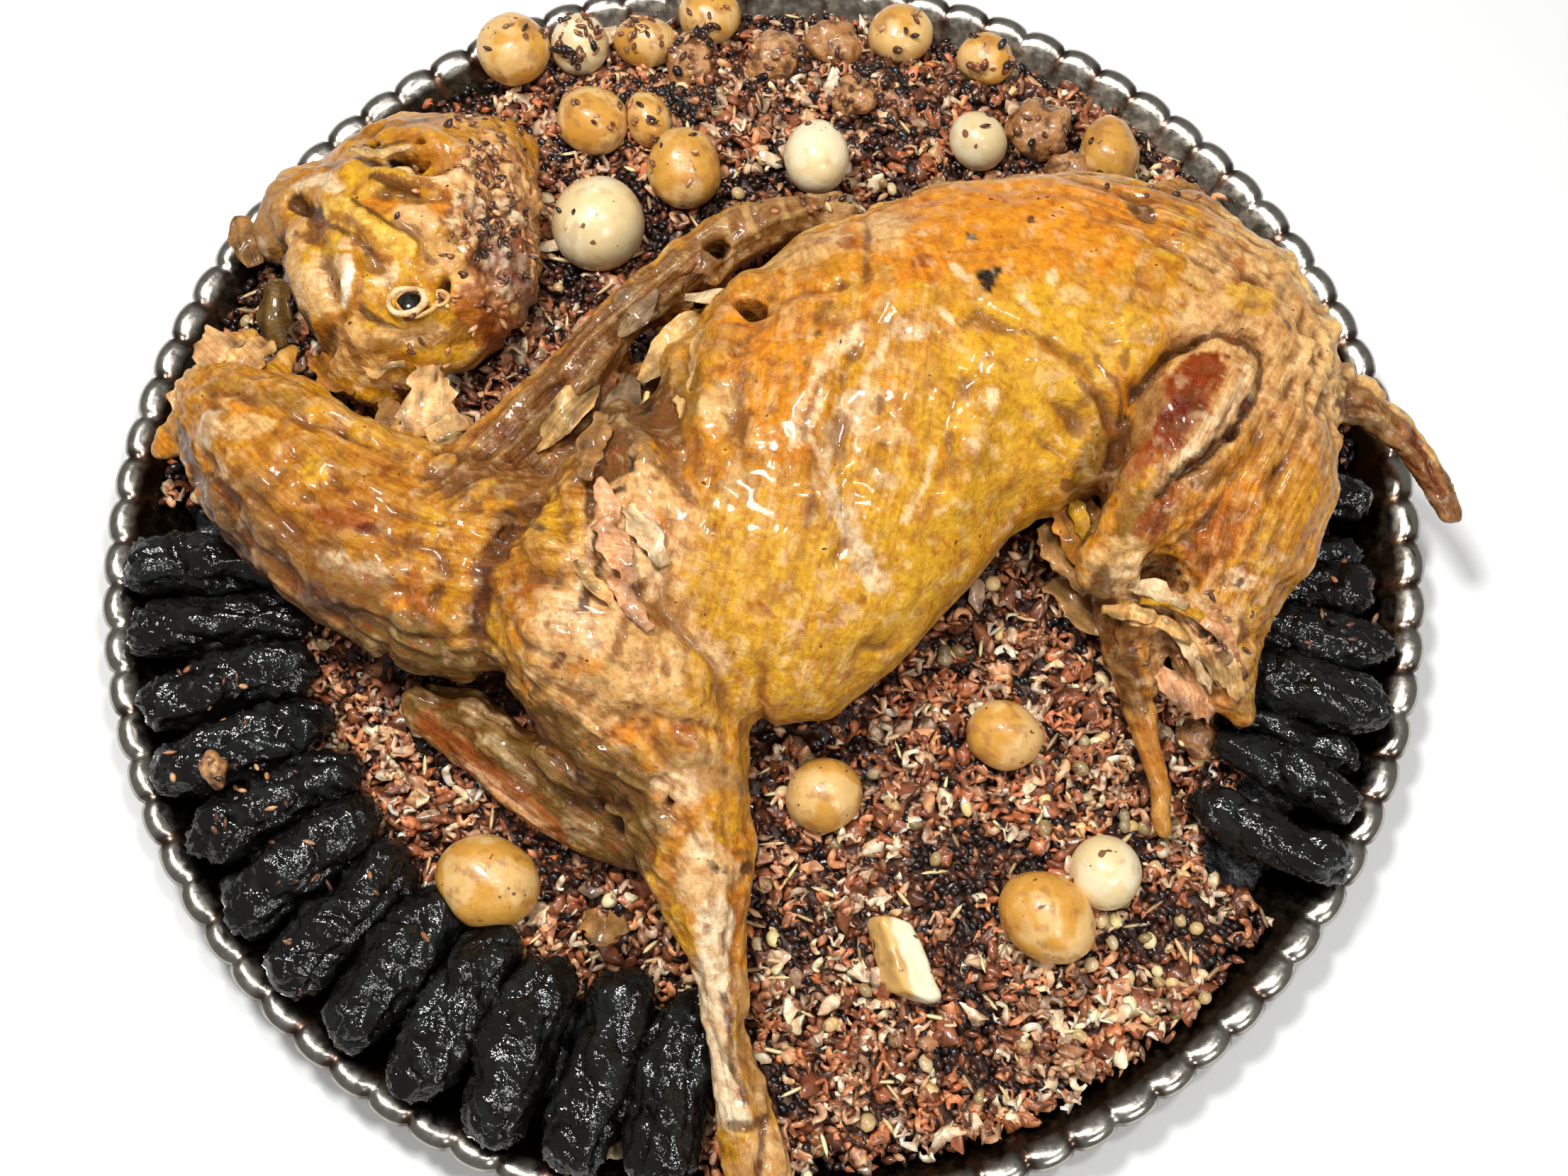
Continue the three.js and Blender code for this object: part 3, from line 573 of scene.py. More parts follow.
# Colours, painted in this order: (colour, strength, length, width, turn, x, y)
LAMB_SPOTS = [
    # broad fields
    (ORANGE, 0.75, 90, 34, 4, 115, 122),
    (YELLOW, 0.8, 60, 40, 60, 118, 30),
    (YELLOW, 0.8, 60, 45, 50, 50, -60),
    (ORANGE, 0.6, 22, 50, 15, 0, 40),
    (SAFFRON, 0.6, 60, 40, -20, -180, -10),
    (BEIGE, 0.9, 60, 70, -30, 262, 78),
    (PALE, 0.7, 30, 30, 0, 268, 128),
    (YELLOW, 0.8, 34, 26, 20, 66, -26),
    (YELLOW, 0.7, 34, 44, 0, -8, -74),
    (BEIGE, 0.85, 40, 46, 0, -72, -86),
    (FLESH, 0.7, 28, 34, 20, -56, -30),
    (AMBER, 0.6, 62, 42, -20, -195, -22),
    (PALE, 0.5, 50, 22, -36, 256, 118),
    # neck
    (YELLOW, 0.7, 10, 15, -10, -310, 70),
    (IVORY, 0.9, 6.5, 11, 0, -275, 32),
    (PALE, 0.85, 15, 7, 0, -254, 31),
    (AMBER, 0.5, 12, 8, 0, -234, 19),
    (BROWN, 0.6, 3.5, 2.5, 0, -276, 43),
    (BROWN, 0.6, 2.5, 3, 0, -266, 17),
    (BROWN, 0.6, 3, 2, 0, -236, 34),
    (YELLOW, 0.95, 8, 9, 0, -220, 4),
    (YELLOW, 0.95, 7, 6, 0, -197, 29),
    (PALE, 0.6, 8, 4, 10, -211, 32),
    (AMBER, 0.85, 24, 11, -8, -201, -17),
    (RUST, 0.85, 16, 6.5, -10, -203, -19),
    (BLOOD, 0.85, 7.5, 3.5, -15, -190, -26),
    (BLOOD, 0.85, 2.4, 2.2, 0, -203, -4),
    (RUST, 0.8, 2.5, 3.6, 0, -184, 7),
    (BROWN, 0.6, 2, 2, 0, -176, 6),
    (RUST, 0.7, 5, 4, 0, -153, -6),
    (CREAM, 0.5, 2.5, 4, -20, -169, -9),
    (YELLOW, 0.95, 9, 6, -40, -157, -25),
    (CREAM, 0.6, 4, 2.2, -40, -152, -29),
    (BROWN, 0.75, 6, 4, 0, -168, -34),
    (BROWN, 0.65, 7, 4, -20, -231, -28),
    (CREAM, 0.98, 12, 6, -32, -206, -41),
    (CREAM, 0.9, 12, 5, -18, -189, -49),
    (BLOOD, 0.8, 2.3, 2, 0, -172, -48),
    (TAN, 0.6, 13, 8, -20, -193, -60),
    (ORANGE, 0.8, 8, 12, 10, -173, -68),
    (OLIVE, 0.55, 7, 7, 0, -126, -6),
    # open chest
    # painted shade in and round the hollow of the open chest: the dark spots from here to the one at (-43,
    # 30), bark brown to black
    (BARK, 0.95, 34, 46, 20, -74, 34),
    (UMBER, 0.5, 26, 36, 20, -72, 38),
    (BROWN, 0.8, 20, 20, 40, -112, 4),
    (UMBER, 0.85, 8, 11, 20, -92, 26),
    (UMBER, 0.9, 7, 5, 0, -72, 66),
    (BLACK, 0.9, 5, 9, 0, -58, 35),
    (BROWN, 0.8, 8, 13, 0, -43, 30),
    (GREY, 0.75, 10, 6, -20, -103, 8),
    (YELLOW, 0.7, 11, 6, 20, -106, -20),
    (AMBER, 0.8, 12, 15, 20, -115, -50),
    (OLIVE, 0.5, 10, 24, 0, -36, 30),
    (AMBER, 0.65, 8, 13, 0, -16, 62),
    (PALE, 0.9, 10, 13, 0, -17, 25),
    (BROWN, 0.75, 4, 11, 0, -7, 14),
    (AMBER, 0.7, 4, 5, 0, -29, 14),
    (BROWN, 0.75, 5, 4, 0, -17, -15),
    (FLESH, 0.95, 10, 17, 10, -66, -42),
    (FLESH, 0.9, 12, 8, 30, -50, -47),
    (ORANGE, 0.75, 6.5, 5, 0, -49, -32),
    (BLACK, 0.9, 4, 2.5, 10, -67, -17),
    (BLACK, 0.9, 2, 6, 0, -61, -3),
    (UMBER, 0.9, 3.5, 4.5, 0, -74, -55),
    (BLACK, 0.9, 1.8, 3.2, 0, -59, -62),
    (BROWN, 0.55, 8, 9, 0, -52, -75),
    (FLESH, 0.92, 19, 15, 0, -84, -84),
    (CREAM, 0.6, 9, 4, -40, -92, -72),
    (BROWN, 0.7, 2.2, 2, 0, -98, -84),
    (BROWN, 0.7, 2, 2.4, 0, -70, -98),
    (IVORY, 0.8, 4, 3, 0, -77, -92),
    (BLOOD, 0.85, 4.5, 2.2, 25, -93, -98),
    (ORANGE, 0.65, 8, 3, 0, -81, -101),
    (CREAM, 0.7, 6, 4.5, 0, -27, -84),
    (CREAM, 0.7, 4, 7, 0, -18, -92),
    (CREAM, 0.7, 5, 3, 0, -38, -93),
    (BROWN, 0.6, 2.2, 1.8, 0, -26, -72),
    (RUST, 0.6, 2, 2, 0, 3, -27),
    (ORANGE, 0.8, 15, 6, 0, -57, -126),
    (RUST, 0.85, 6, 5, 0, -36, -128),
    (RUST, 0.7, 5, 3, 0, -29, -134),
    # barrel and back
    (PALE, 0.75, 22, 12, 5, 20, 115),
    (PALE, 0.75, 13, 16, 0, 60, 120),
    (RUST, 0.65, 4.5, 3, 0, 29, 118),
    (RUST, 0.75, 4, 4, 0, 41, 112),
    (UMBER, 0.8, 1.8, 3, 0, 51, 121),
    (OLIVE, 0.6, 4, 7, -20, 29, 72),
    (UMBER, 0.75, 3, 2, 0, 27, 60),
    (ORANGE, 0.6, 14, 8, 20, 58, 80),
    (ORANGE, 0.95, 14, 11, 0, 76, 95),
    (RUST, 0.8, 7, 5, 30, 77, 97),
    # a painted glint
    (CREAM, 0.85, 4, 2.2, 0, 78, 115),
    (CREAM, 0.75, 3, 3.5, 0, 140, 90),
    (PALE, 0.75, 8, 5, 0, 151, 81),
    (BLACK, 0.97, 5, 7, -10, 106, 86),
    (BLACK, 0.95, 3.2, 2.4, 0, 102, 113),
    (BLACK, 0.95, 2, 3.2, 0, 133, 126),
    (BROWN, 0.7, 2.2, 1.8, 0, 121, 105),
    (CREAM, 0.85, 13, 5, 40, 41, 56),
    (CREAM, 0.75, 10, 3.5, 50, 31, 42),
    (CREAM, 0.75, 8, 4, 30, 71, 58),
    (PALE, 0.75, 9, 3, 50, 60, 76),
    (CREAM, 0.6, 11, 8, 20, 46, 22),
    (BROWN, 0.85, 3, 4.5, 0, 55, 22),
    (PALE, 0.7, 7, 5, 0, 60, 8),
    (CREAM, 0.65, 6, 3.5, -30, 58, -15),
    (CREAM, 0.7, 7, 5, 0, 53, -57),
    (AMBER, 0.55, 7, 8, 0, 109, 27),
    (CREAM, 0.85, 2.6, 4.2, 0, 109, 28),
    (AMBER, 0.5, 6, 7, 0, 100, 4),
    (CREAM, 0.85, 2.6, 4, 0, 100, 4),
    (AMBER, 0.5, 7, 6, 0, 94, -8),
    # painted shade, olive brown, where the thigh meets the barrel
    (OLIVE, 0.7, 24, 12, 60, 164, 4),
    (OLIVE, 0.8, 9, 16, -20, 178, -26),
    (BROWN, 0.75, 2.8, 5.5, 0, 174, 50),
    (AMBER, 0.6, 8, 14, 0, 190, 92),
    # hip, thigh and hock
    (TAN, 0.8, 22, 12, 0, 212, 150),
    (UMBER, 0.9, 10, 6, -48, 188, 131),
    (PALE, 0.75, 9, 13, 0, 214, 98),
    (YELLOW, 0.75, 15, 8, 0, 238, 84),
    (RUST, 0.65, 4, 8, -10, 233, 98),
    (BROWN, 0.65, 4, 5, 0, 254, 92),
    (BLACK, 0.8, 2.2, 2.2, 0, 256, 74),
    (PALE, 0.6, 14, 22, 0, 274, 52),
    (BEIGE, 0.9, 42, 24, 55, 214, 34),
    (CHESTNUT, 0.85, 30, 8, 62, 186, 14),
    (SEPIA, 0.8, 18, 8, 58, 192, -14),
    (RUST, 0.98, 36, 13.5, 57, 201, 26),
    (MAROON, 0.98, 31, 11, 57, 203, 29),
    (BLOOD, 0.92, 13, 7.5, 57, 201, 23),
    # a painted glint on the dark patch of the thigh
    (IVORY, 0.6, 5, 2, 10, 207, 19),
    (BROWN, 0.85, 9, 5, 40, 209, -7),
    (ORANGE, 0.6, 14, 24, -40, 222, -24),
    (RUST, 0.7, 11, 18, -38, 217, -30),
    (CREAM, 0.65, 9, 5, -30, 229, -47),
    (PALE, 0.85, 30, 14, -20, 188, -50),
    (YELLOW, 0.8, 24, 6, 6, 190, -54),
    (CREAM, 0.6, 12, 6, 10, 180, -46),
    # painted shade: black in the hole at the hock
    (BLACK, 0.95, 8, 5, -20, 195, -40),
    (BLACK, 0.9, 2.6, 1.8, 20, 209, -55),
    (BLACK, 0.85, 2.2, 1.8, 0, 231, -49),
    (FLESH, 0.95, 34, 22, -50, 214, -78),
    (ORANGE, 0.7, 8, 6, -40, 228, -98),
    # foreleg, knee and hoof
    (BLACK, 0.95, 7.5, 8, 0, -70, -147),
    (UMBER, 0.9, 6, 9, 0, -69, -172),
    (CREAM, 0.8, 13, 8, -20, -41, -152),
    (FLESH, 0.95, 8, 10, -40, -50, -166),
    (GREY, 0.55, 18, 7, -10, -27, -142),
    (BROWN, 0.75, 3, 2.6, 0, -19, -142),
    (BROWN, 0.7, 2.6, 2.6, 0, -9, -146),
    (RUST, 0.7, 3.4, 3, 0, -24, -167),
    (FLESH, 0.95, 16, 17, 0, -26, -187),
    (CREAM, 0.8, 6, 5, 0, -30, -176),
    (IVORY, 0.5, 6, 5, 0, -22, -190),
    (BLACK, 0.95, 2.2, 2.6, 0, -24, -184),
    (BLACK, 0.9, 2.2, 1.8, 0, -19, -186),
    (UMBER, 0.95, 3.2, 4.4, -30, -9, -184),
    (BROWN, 0.85, 4, 2, 10, -11, -176),
    (YELLOW, 0.7, 6, 9, 0, -38, -212),
    (BEIGE, 0.9, 18, 26, 0, 2, -326),
]

# Colours along lines: (colour, strength, width, points)
LAMB_LINES = [
    # neck
    (UMBER, 0.9, 5, [(-298, 40), (-288, 22), (-281, 6), (-270, -10), (-258, -24), (-246, -38)]),
    # painted shade along the lower edge of the neck: this broad band and the next
    (BARK, 0.7, 22, [(-272, -6), (-248, -30), (-228, -46), (-206, -62), (-184, -76)]),
    (UMBER, 0.85, 11, [(-270, -16), (-250, -38), (-230, -55), (-210, -71), (-186, -84), (-168, -90)]),
    (TAN, 0.8, 2.6, [(-249, -30), (-242, -42), (-228, -53), (-205, -67)]),
    (PALE, 0.7, 2.6, [(-238, -52), (-215, -70), (-200, -80)]),
    (UMBER, 0.85, 2.6, [(-275, 8), (-257, -7), (-248, -19), (-239, -30), (-231, -38)]),
    (UMBER, 0.85, 3, [(-231, -47), (-220, -56), (-206, -63), (-194, -67), (-181, -74)]),
    (BROWN, 0.8, 2.4, [(-246, -30), (-237, -41), (-224, -51)]),
    (BROWN, 0.8, 2.4, [(-181, -76), (-174, -82), (-166, -80)]),
    # a painted highlight along an edge of the neck
    (CREAM, 0.8, 2.6, [(-272, 12), (-266, 6)]),
    (OLIVE, 0.5, 6, [(-280, 56), (-256, 52), (-232, 46)]),
    (RUST, 0.75, 6, [(-166, -53), (-164, -62), (-160, -68), (-157, -75)]),
    (UMBER, 0.85, 12, [(-152, -90), (-138, -90), (-128, -100)]),
    (BROWN, 0.9, 7, [(-110, -16), (-121, -22), (-124, -32), (-130, -43), (-133, -60), (-138, -74)]),
    (UMBER, 0.95, 4, [(-121, -22), (-124, -32), (-130, -43), (-133, -60), (-138, -74)]),
    # strap and open chest
    (BARK, 0.95, 16, [(-150, 2), (-118, 40), (-80, 82), (-35, 124), (2, 152), (40, 160)]),
    (BROWN, 0.9, 4, [(-146, 4), (-122, 34), (-100, 58), (-72, 86), (-40, 118), (-4, 146)]),
    (TAN, 0.7, 3, [(-138, 14), (-112, 44), (-86, 72), (-56, 100), (-20, 134)]),
    (UMBER, 0.8, 3, [(-130, 26), (-104, 54), (-78, 80), (-48, 108), (-14, 138)]),
    (UMBER, 0.9, 2.6, [(-115, -28), (-108, -30), (-102, -34)]),
    (RUST, 0.75, 5, [(-112, -65), (-104, -58)]),
    (CREAM, 0.95, 2.6, [(-78, -34), (-79, -47), (-83, -64)]),
    (UMBER, 0.95, 1.8, [(-76, -38), (-76, -49)]),
    (UMBER, 0.9, 3, [(-74, -55), (-81, -68), (-82, -74)]),
    (UMBER, 0.9, 3, [(-80, -12), (-80, -26)]),
    (BROWN, 0.8, 2, [(-41, -46), (-52, -56), (-59, -62)]),
    (BROWN, 0.85, 2.2, [(-61, -73), (-65, -85), (-67, -95)]),
    (RUST, 0.8, 1.8, [(-1, -70), (4, -77)]),
    (AMBER, 0.6, 3, [(-3, -96), (-2, -118), (-3, -140)]),
    # barrel and back
    (BEIGE, 0.7, 9, [(40, 158), (80, 160), (130, 164), (170, 156)]),
    (TAN, 0.6, 5, [(30, 166), (70, 168), (120, 168), (160, 162)]),
    (BROWN, 0.75, 2, [(50, 122), (51, 104), (49, 86)]),
    # painted glints: this line and the next
    (CREAM, 0.85, 2.6, [(92, 92), (97, 86)]),
    (CREAM, 0.8, 2.2, [(82, 72), (88, 65)]),
    (CREAM, 0.7, 2.2, [(124, 78), (130, 72)]),
    (BLACK, 0.95, 2.4, [(106, 88), (111, 91)]),
    (AMBER, 0.8, 3, [(94, 60), (102, 64), (111, 59)]),
    (BROWN, 0.7, 2, [(94, 62), (102, 66), (111, 61)]),
    (BROWN, 0.6, 2.2, [(119, 62), (127, 61), (134, 57), (140, 51)]),
    (AMBER, 0.7, 3, [(130, 55), (141, 47), (150, 41), (159, 33)]),
    (BROWN, 0.85, 2.4, [(150, 36), (159, 31), (166, 22), (170, 14)]),
    (BROWN, 0.7, 2, [(152, 26), (159, 31)]),
    (CREAM, 0.9, 2.8, [(14, 2), (22, 13), (28, 22)]),
    # a wet patch, its silver-grey a painted sheen
    (SILVER, 0.6, 5.5, [(34, 10), (30, -2), (28, -15), (35, -28), (44, -44), (48, -51)]),
    (BROWN, 0.6, 1.6, [(25, 2), (22, -14), (27, -30)]),
    (BROWN, 0.55, 1.6, [(40, 0), (37, -14)]),
    # painted highlights on the wet patch: this line and the next two
    (CREAM, 0.9, 1.8, [(22, 6), (28, -4), (30, -12)]),
    (CREAM, 0.9, 1.8, [(34, -14), (32, -26), (38, -38)]),
    (CREAM, 0.85, 1.8, [(44, -28), (46, -42), (54, -54)]),
    (CREAM, 0.85, 1.8, [(56, 44), (50, 34), (46, 20)]),
    (CREAM, 0.8, 1.8, [(66, 66), (58, 52), (54, 40)]),
    (CREAM, 0.8, 1.8, [(24, 34), (18, 18), (12, 0)]),
    (BROWN, 0.7, 1.6, [(30, 36), (24, 20), (18, 4)]),
    (AMBER, 0.7, 2.2, [(74, 30), (70, 12), (70, -8)]),
    (AMBER, 0.65, 2.2, [(86, -2), (82, -22), (72, -40)]),
    (CREAM, 0.7, 1.8, [(80, 2), (76, -16), (68, -32)]),
    (AMBER, 0.7, 2.4, [(30, 2), (27, -10), (30, -22)]),
    (IVORY, 0.9, 3, [(36, 12), (32, 0), (30, -10)]),
    (IVORY, 0.85, 3, [(33, -22), (40, -36), (48, -48)]),
    (CREAM, 0.8, 2.4, [(39, 20), (47, 8)]),
    (BROWN, 0.85, 3, [(23, -24), (22, -36)]),
    (UMBER, 0.95, 4.4, [(177, 24), (171, 9), (164, -10), (156, -27)]),
    (BROWN, 0.85, 2.2, [(170, 2), (158, -3), (146, -3)]),
    (BROWN, 0.85, 2.2, [(165, -10), (156, -16), (146, -20)]),
    (BROWN, 0.8, 2.0, [(176, 28), (168, 40), (158, 52)]),
    # thigh
    (TAN, 0.85, 5, [(192, 38), (186, 27), (182, 14)]),
    (CREAM, 0.85, 3.6, [(233, 46), (230, 34), (218, 18), (206, 6), (197, -4)]),
    (UMBER, 0.9, 2.4, [(183, 40), (195, 54), (210, 62), (223, 64), (232, 62), (240, 57), (242, 50),
                       (239, 40)]),
    (BLACK, 0.95, 3.0, [(235, 32), (228, 20), (220, 11), (208, 2), (199, -6), (189, -15)]),
    (RUST, 0.8, 7, [(196, -14), (190, -23), (185, -29)]),
    (BLOOD, 0.7, 3.4, [(192, -20), (186, -29)]),
    (AMBER, 0.6, 6, [(252, 28), (238, 10)]),
    (SAFFRON, 0.8, 6, [(272, 0), (260, -24), (248, -46)]),
    (PALE, 0.8, 8, [(240, 140), (264, 116), (280, 86), (286, 56)]),
    # tail
    (BARK, 0.95, 12, [(300, 54), (318, 46), (334, 33), (348, 14), (358, 2)]),
    (BLOOD, 0.8, 7, [(326, 36), (340, 20), (354, 3)]),
    (PALE, 0.8, 4, [(296, 68), (314, 60), (332, 46), (346, 28)]),
    (UMBER, 0.85, 5, [(290, 46), (302, 44), (312, 38)]),
    # hock and shank
    (AMBER, 0.8, 12, [(180, -74), (190, -105), (198, -135), (199, -158)]),
    (UMBER, 0.85, 7, [(166, -50), (174, -66), (184, -84), (190, -96)]),
    (BROWN, 0.75, 2.4, [(204, -66), (214, -82), (224, -96)]),
    (CREAM, 0.8, 3, [(210, -62), (224, -78), (234, -96)]),
    (UMBER, 0.8, 2.4, [(222, -70), (230, -84), (236, -98)]),
    # foreleg
    (AMBER, 0.85, 5, [(-44, -182), (-46, -200)]),
    (RUST, 0.8, 1.8, [(-36, -171), (-30, -167)]),
    (RUST, 0.65, 4, [(-11, -200), (-15, -214), (-17, -222)]),
    (BONE, 1.0, 8.5, [(-23, -208), (-25, -245), (-19, -270), (-15, -294)]),
    (TAN, 0.9, 5, [(-11, -234), (-9, -255), (-5, -278), (1, -295)]),
    (UMBER, 0.9, 2, [(-19, -241), (-17, -256), (-13, -275), (-9, -290)]),
    (UMBER, 0.8, 3, [(-16, -298), (-8, -301), (2, -298)]),
    (UMBER, 0.85, 2.2, [(1, -300), (-2, -316), (-4, -334)]),
    # skirt of membrane
    (OLIVE, 0.97, 24, [(-178, -88), (-145, -106), (-105, -132), (-65, -165)]),
    (UMBER, 0.9, 4, [(-141, -96), (-118, -108), (-104, -124), (-94, -138), (-80, -150), (-67, -157)]),
    # a painted glint along the top of the skirt
    (SILVER, 0.6, 2.4, [(-150, -101), (-134, -105), (-121, -113)]),
    (SILVER, 0.65, 3.4, [(-131, -120), (-122, -130), (-112, -140)]),
    (RUST, 0.75, 6, [(-166, -108), (-150, -121), (-134, -138), (-118, -150), (-102, -164)]),
    (PINK, 0.85, 2.6, [(-144, -130), (-126, -146), (-104, -163)]),
    # a painted glint
    (SILVER, 0.5, 4, [(-94, -160), (-84, -166)]),
]


def wavered(plan, seed):
    """Points in plan, shifted a little so that lines and edges drawn on them waver."""
    space = np.column_stack([plan, np.zeros(len(plan))])
    wide = np.column_stack([noise(space, 26, seed), noise(space, 26, seed + 1)])
    fine = np.column_stack([noise(space, 8, seed + 2), noise(space, 8, seed + 3)])
    return plan + 1.6 * wide + 0.9 * fine


def relief(plan, strokes, hollows, seed):
    """Height of the relief over points in plan: strokes and hollows along wavering lines."""
    space = np.column_stack([plan, np.zeros(len(plan))])
    bent = wavered(plan, seed)
    height = np.zeros(len(plan))
    for i, (depth, width, path) in enumerate(strokes):
        distance, along, _ = stroke_distance(bent, path)
        fade = 0.55 + 0.45 * np.sin(np.pi * np.clip(along, 0.04, 0.96)) ** 0.5
        height -= depth * fade * (0.8 + 0.4 * noise(space, 14, seed + i)) * bell(distance, width)
    for depth, length, width, turn, x, y in hollows:
        height -= depth * np.exp(-spot_distance(bent, x, y, length, width, turn) ** 4)
    return height


def carved(name, voxel, light, heavy, strokes, hollows, seed, fade):
    """(points, quads, normals) of a node's rounded surface, with relief above the heights of fade."""
    values, low = rounded(name, voxel, light, heavy)
    plan, heights = cell_points(values, low, voxel)
    lift = relief(plan, strokes, hollows, seed).reshape(values.shape[:2])
    values -= (lift[:, :, None] * smooth_step(*fade, heights)[None, None, :]).astype("f4")
    points, quads = surface(values, low, voxel)
    return points, quads, normals_of(points, quads)


def painted(points, tones, spots, lines, seed):
    """Tones with named spots and lines of colour, whose edges waver like the relief and break up."""
    plan = wavered(points[:, :2], seed)
    breakup = rough_noise(points, 6, seed + 60) + 0.6 * noise(points, 2.8, seed + 61)
    for colour, strength, length, width, turn, x, y in spots:
        inside = spot_distance(plan, x, y, length, width, turn) + 0.14 * breakup
        tones = paint(tones, colour, strength * smooth_step(1.08, 0.9, inside))
    for colour, strength, width, path in lines:
        distance, _, _ = stroke_distance(plan, path)
        inside = distance / width + 0.18 * breakup
        tones = paint(tones, colour, strength * smooth_step(1.12, 0.72, inside))
    return tones


def fibres(points, path, across, length, seed):
    """Stretched noise whose threads run along a path in plan."""
    _, along, side = stroke_distance(points[:, :2], path)
    run = along * path_length(path)
    return noise(np.column_stack([run / length, side / across, points[:, 2] / across]), 1.0, seed)


NECK_RUN = [(-290, 60), (-250, 20), (-210, -14), (-160, -36), (-105, -45)]
STRAP_RUN = [(-150, 6), (-118, 40), (-80, 82), (-35, 126), (6, 154), (40, 160)]
THIGH_RUN = [(290, 90), (262, 40), (236, -10), (220, -60), (238, -104)]
HIP_RUN = [(190, 150), (240, 130), (280, 100), (300, 60)]
SHANK_RUN = [(-45, -110), (-30, -180), (-20, -230), (-14, -270), (-2, -330)]
SKIRT_RUN = [(-180, -90), (-145, -108), (-105, -135), (-60, -168)]
TAIL_RUN = [(284, 62), (312, 54), (334, 33), (356, 3)]
BARREL_RUN = [(20, 150), (40, 90), (30, 20), (10, -50), (-10, -110)]
TAUT_RUN = [(40, 130), (110, 110), (120, 30), (60, -30), (20, -90)]

RIDGES = [  # (path, half width, height of a ridge, its thickness, its length)
    (NECK_RUN, 44, 1.3, 5.5, 44),
    (STRAP_RUN, 16, 1.8, 3.2, 36),
    (THIGH_RUN, 44, 1.3, 4.5, 44),
    (HIP_RUN, 34, 1.2, 5.0, 40),
    (SHANK_RUN, 16, 0.8, 3.2, 34),
    (SKIRT_RUN, 22, 1.4, 4.0, 36),
    (TAIL_RUN, 16, 1.3, 2.6, 26),
]
THREADS = [  # (path, half width, thickness of a coloured thread, its length)
    (STRAP_RUN, 16, 2.6, 40),
    (THIGH_RUN, 44, 3.2, 30),
    (SKIRT_RUN, 24, 3.0, 34),
    (TAIL_RUN, 18, 2.4, 26),
    (HIP_RUN, 34, 4.0, 26),
]


def crumple(points, size, seed):
    """Folds like those of loose skin: soft ridges with sharp valleys, bent by wider noise."""
    shift = np.column_stack([noise(points, 1.6 * size, seed + k) for k in (1, 2, 3)])
    bent = points + 0.7 * size * shift
    return np.abs(noise(bent, size, seed)) + 0.5 * np.abs(noise(bent, 0.5 * size, seed + 4)) - 0.45


def zone(points, path, width, soft):
    distance, _, _ = stroke_distance(points[:, :2], path)
    return smooth_step(width + soft, width, distance)


MUSCLES = [  # (path in plan, half width, thickness of a thread, its length, how clear its threads are)
    (NECK_RUN, 46, 2.2, 26, 0.75),
    (STRAP_RUN, 18, 1.6, 30, 1.0),
    (THIGH_RUN, 46, 1.8, 26, 0.9),
    (HIP_RUN, 36, 2.2, 24, 0.85),
    (SHANK_RUN, 18, 1.6, 30, 0.45),
    (SKIRT_RUN, 30, 1.8, 26, 1.0),
    (TAIL_RUN, 18, 1.4, 18, 1.0),
    (BARREL_RUN, 50, 2.4, 22, 0.55),
]


def flow_of(points):
    """Coordinates that run along the nearest muscle, and the weight of its fibres."""
    best = np.zeros(len(points))
    second = np.zeros(len(points))
    flow = points / 8
    for k, (path, width, thin, long, clear) in enumerate(MUSCLES):
        distance, along, side = stroke_distance(points[:, :2], path)
        weight = clear * smooth_step(width + 14, width - 6, distance)
        nearer = weight > best
        second = np.where(nearer, best, np.maximum(second, weight))
        best = np.maximum(best, weight)
        run = along * path_length(path) / long + 40 * k
        run = np.column_stack([run, side / thin, points[:, 2] / (2 * thin)])
        flow = np.where(nearer[:, None], run, flow)
    return flow, best - second


def lamb_mesh():
    points, quads, normals = carved("lamb", LAMB_VOXEL, 3, 13, LAMB_STROKES, LAMB_HOLLOWS, 30, (46, 66))
    up = smooth_step(-0.3, 0.4, normals[:, 2])
    bulge = 1.0 * rough_noise(points, 26, 60) + 0.15 * rough_noise(points, 7, 61)
    loose = 1 - 0.65 * zone(points, TAUT_RUN, 40, 30)
    bulge += loose * (1.5 * crumple(points, 24, 62) + 0.35 * crumple(points, 10, 72))
    for path, width, height, thin, long in RIDGES:
        bulge += height * zone(points, path, width, 12) * fibres(points, path, thin, long, 70)
    points = points + normals * (bulge * (0.5 + 0.5 * up))[:, None]
    return points, quads


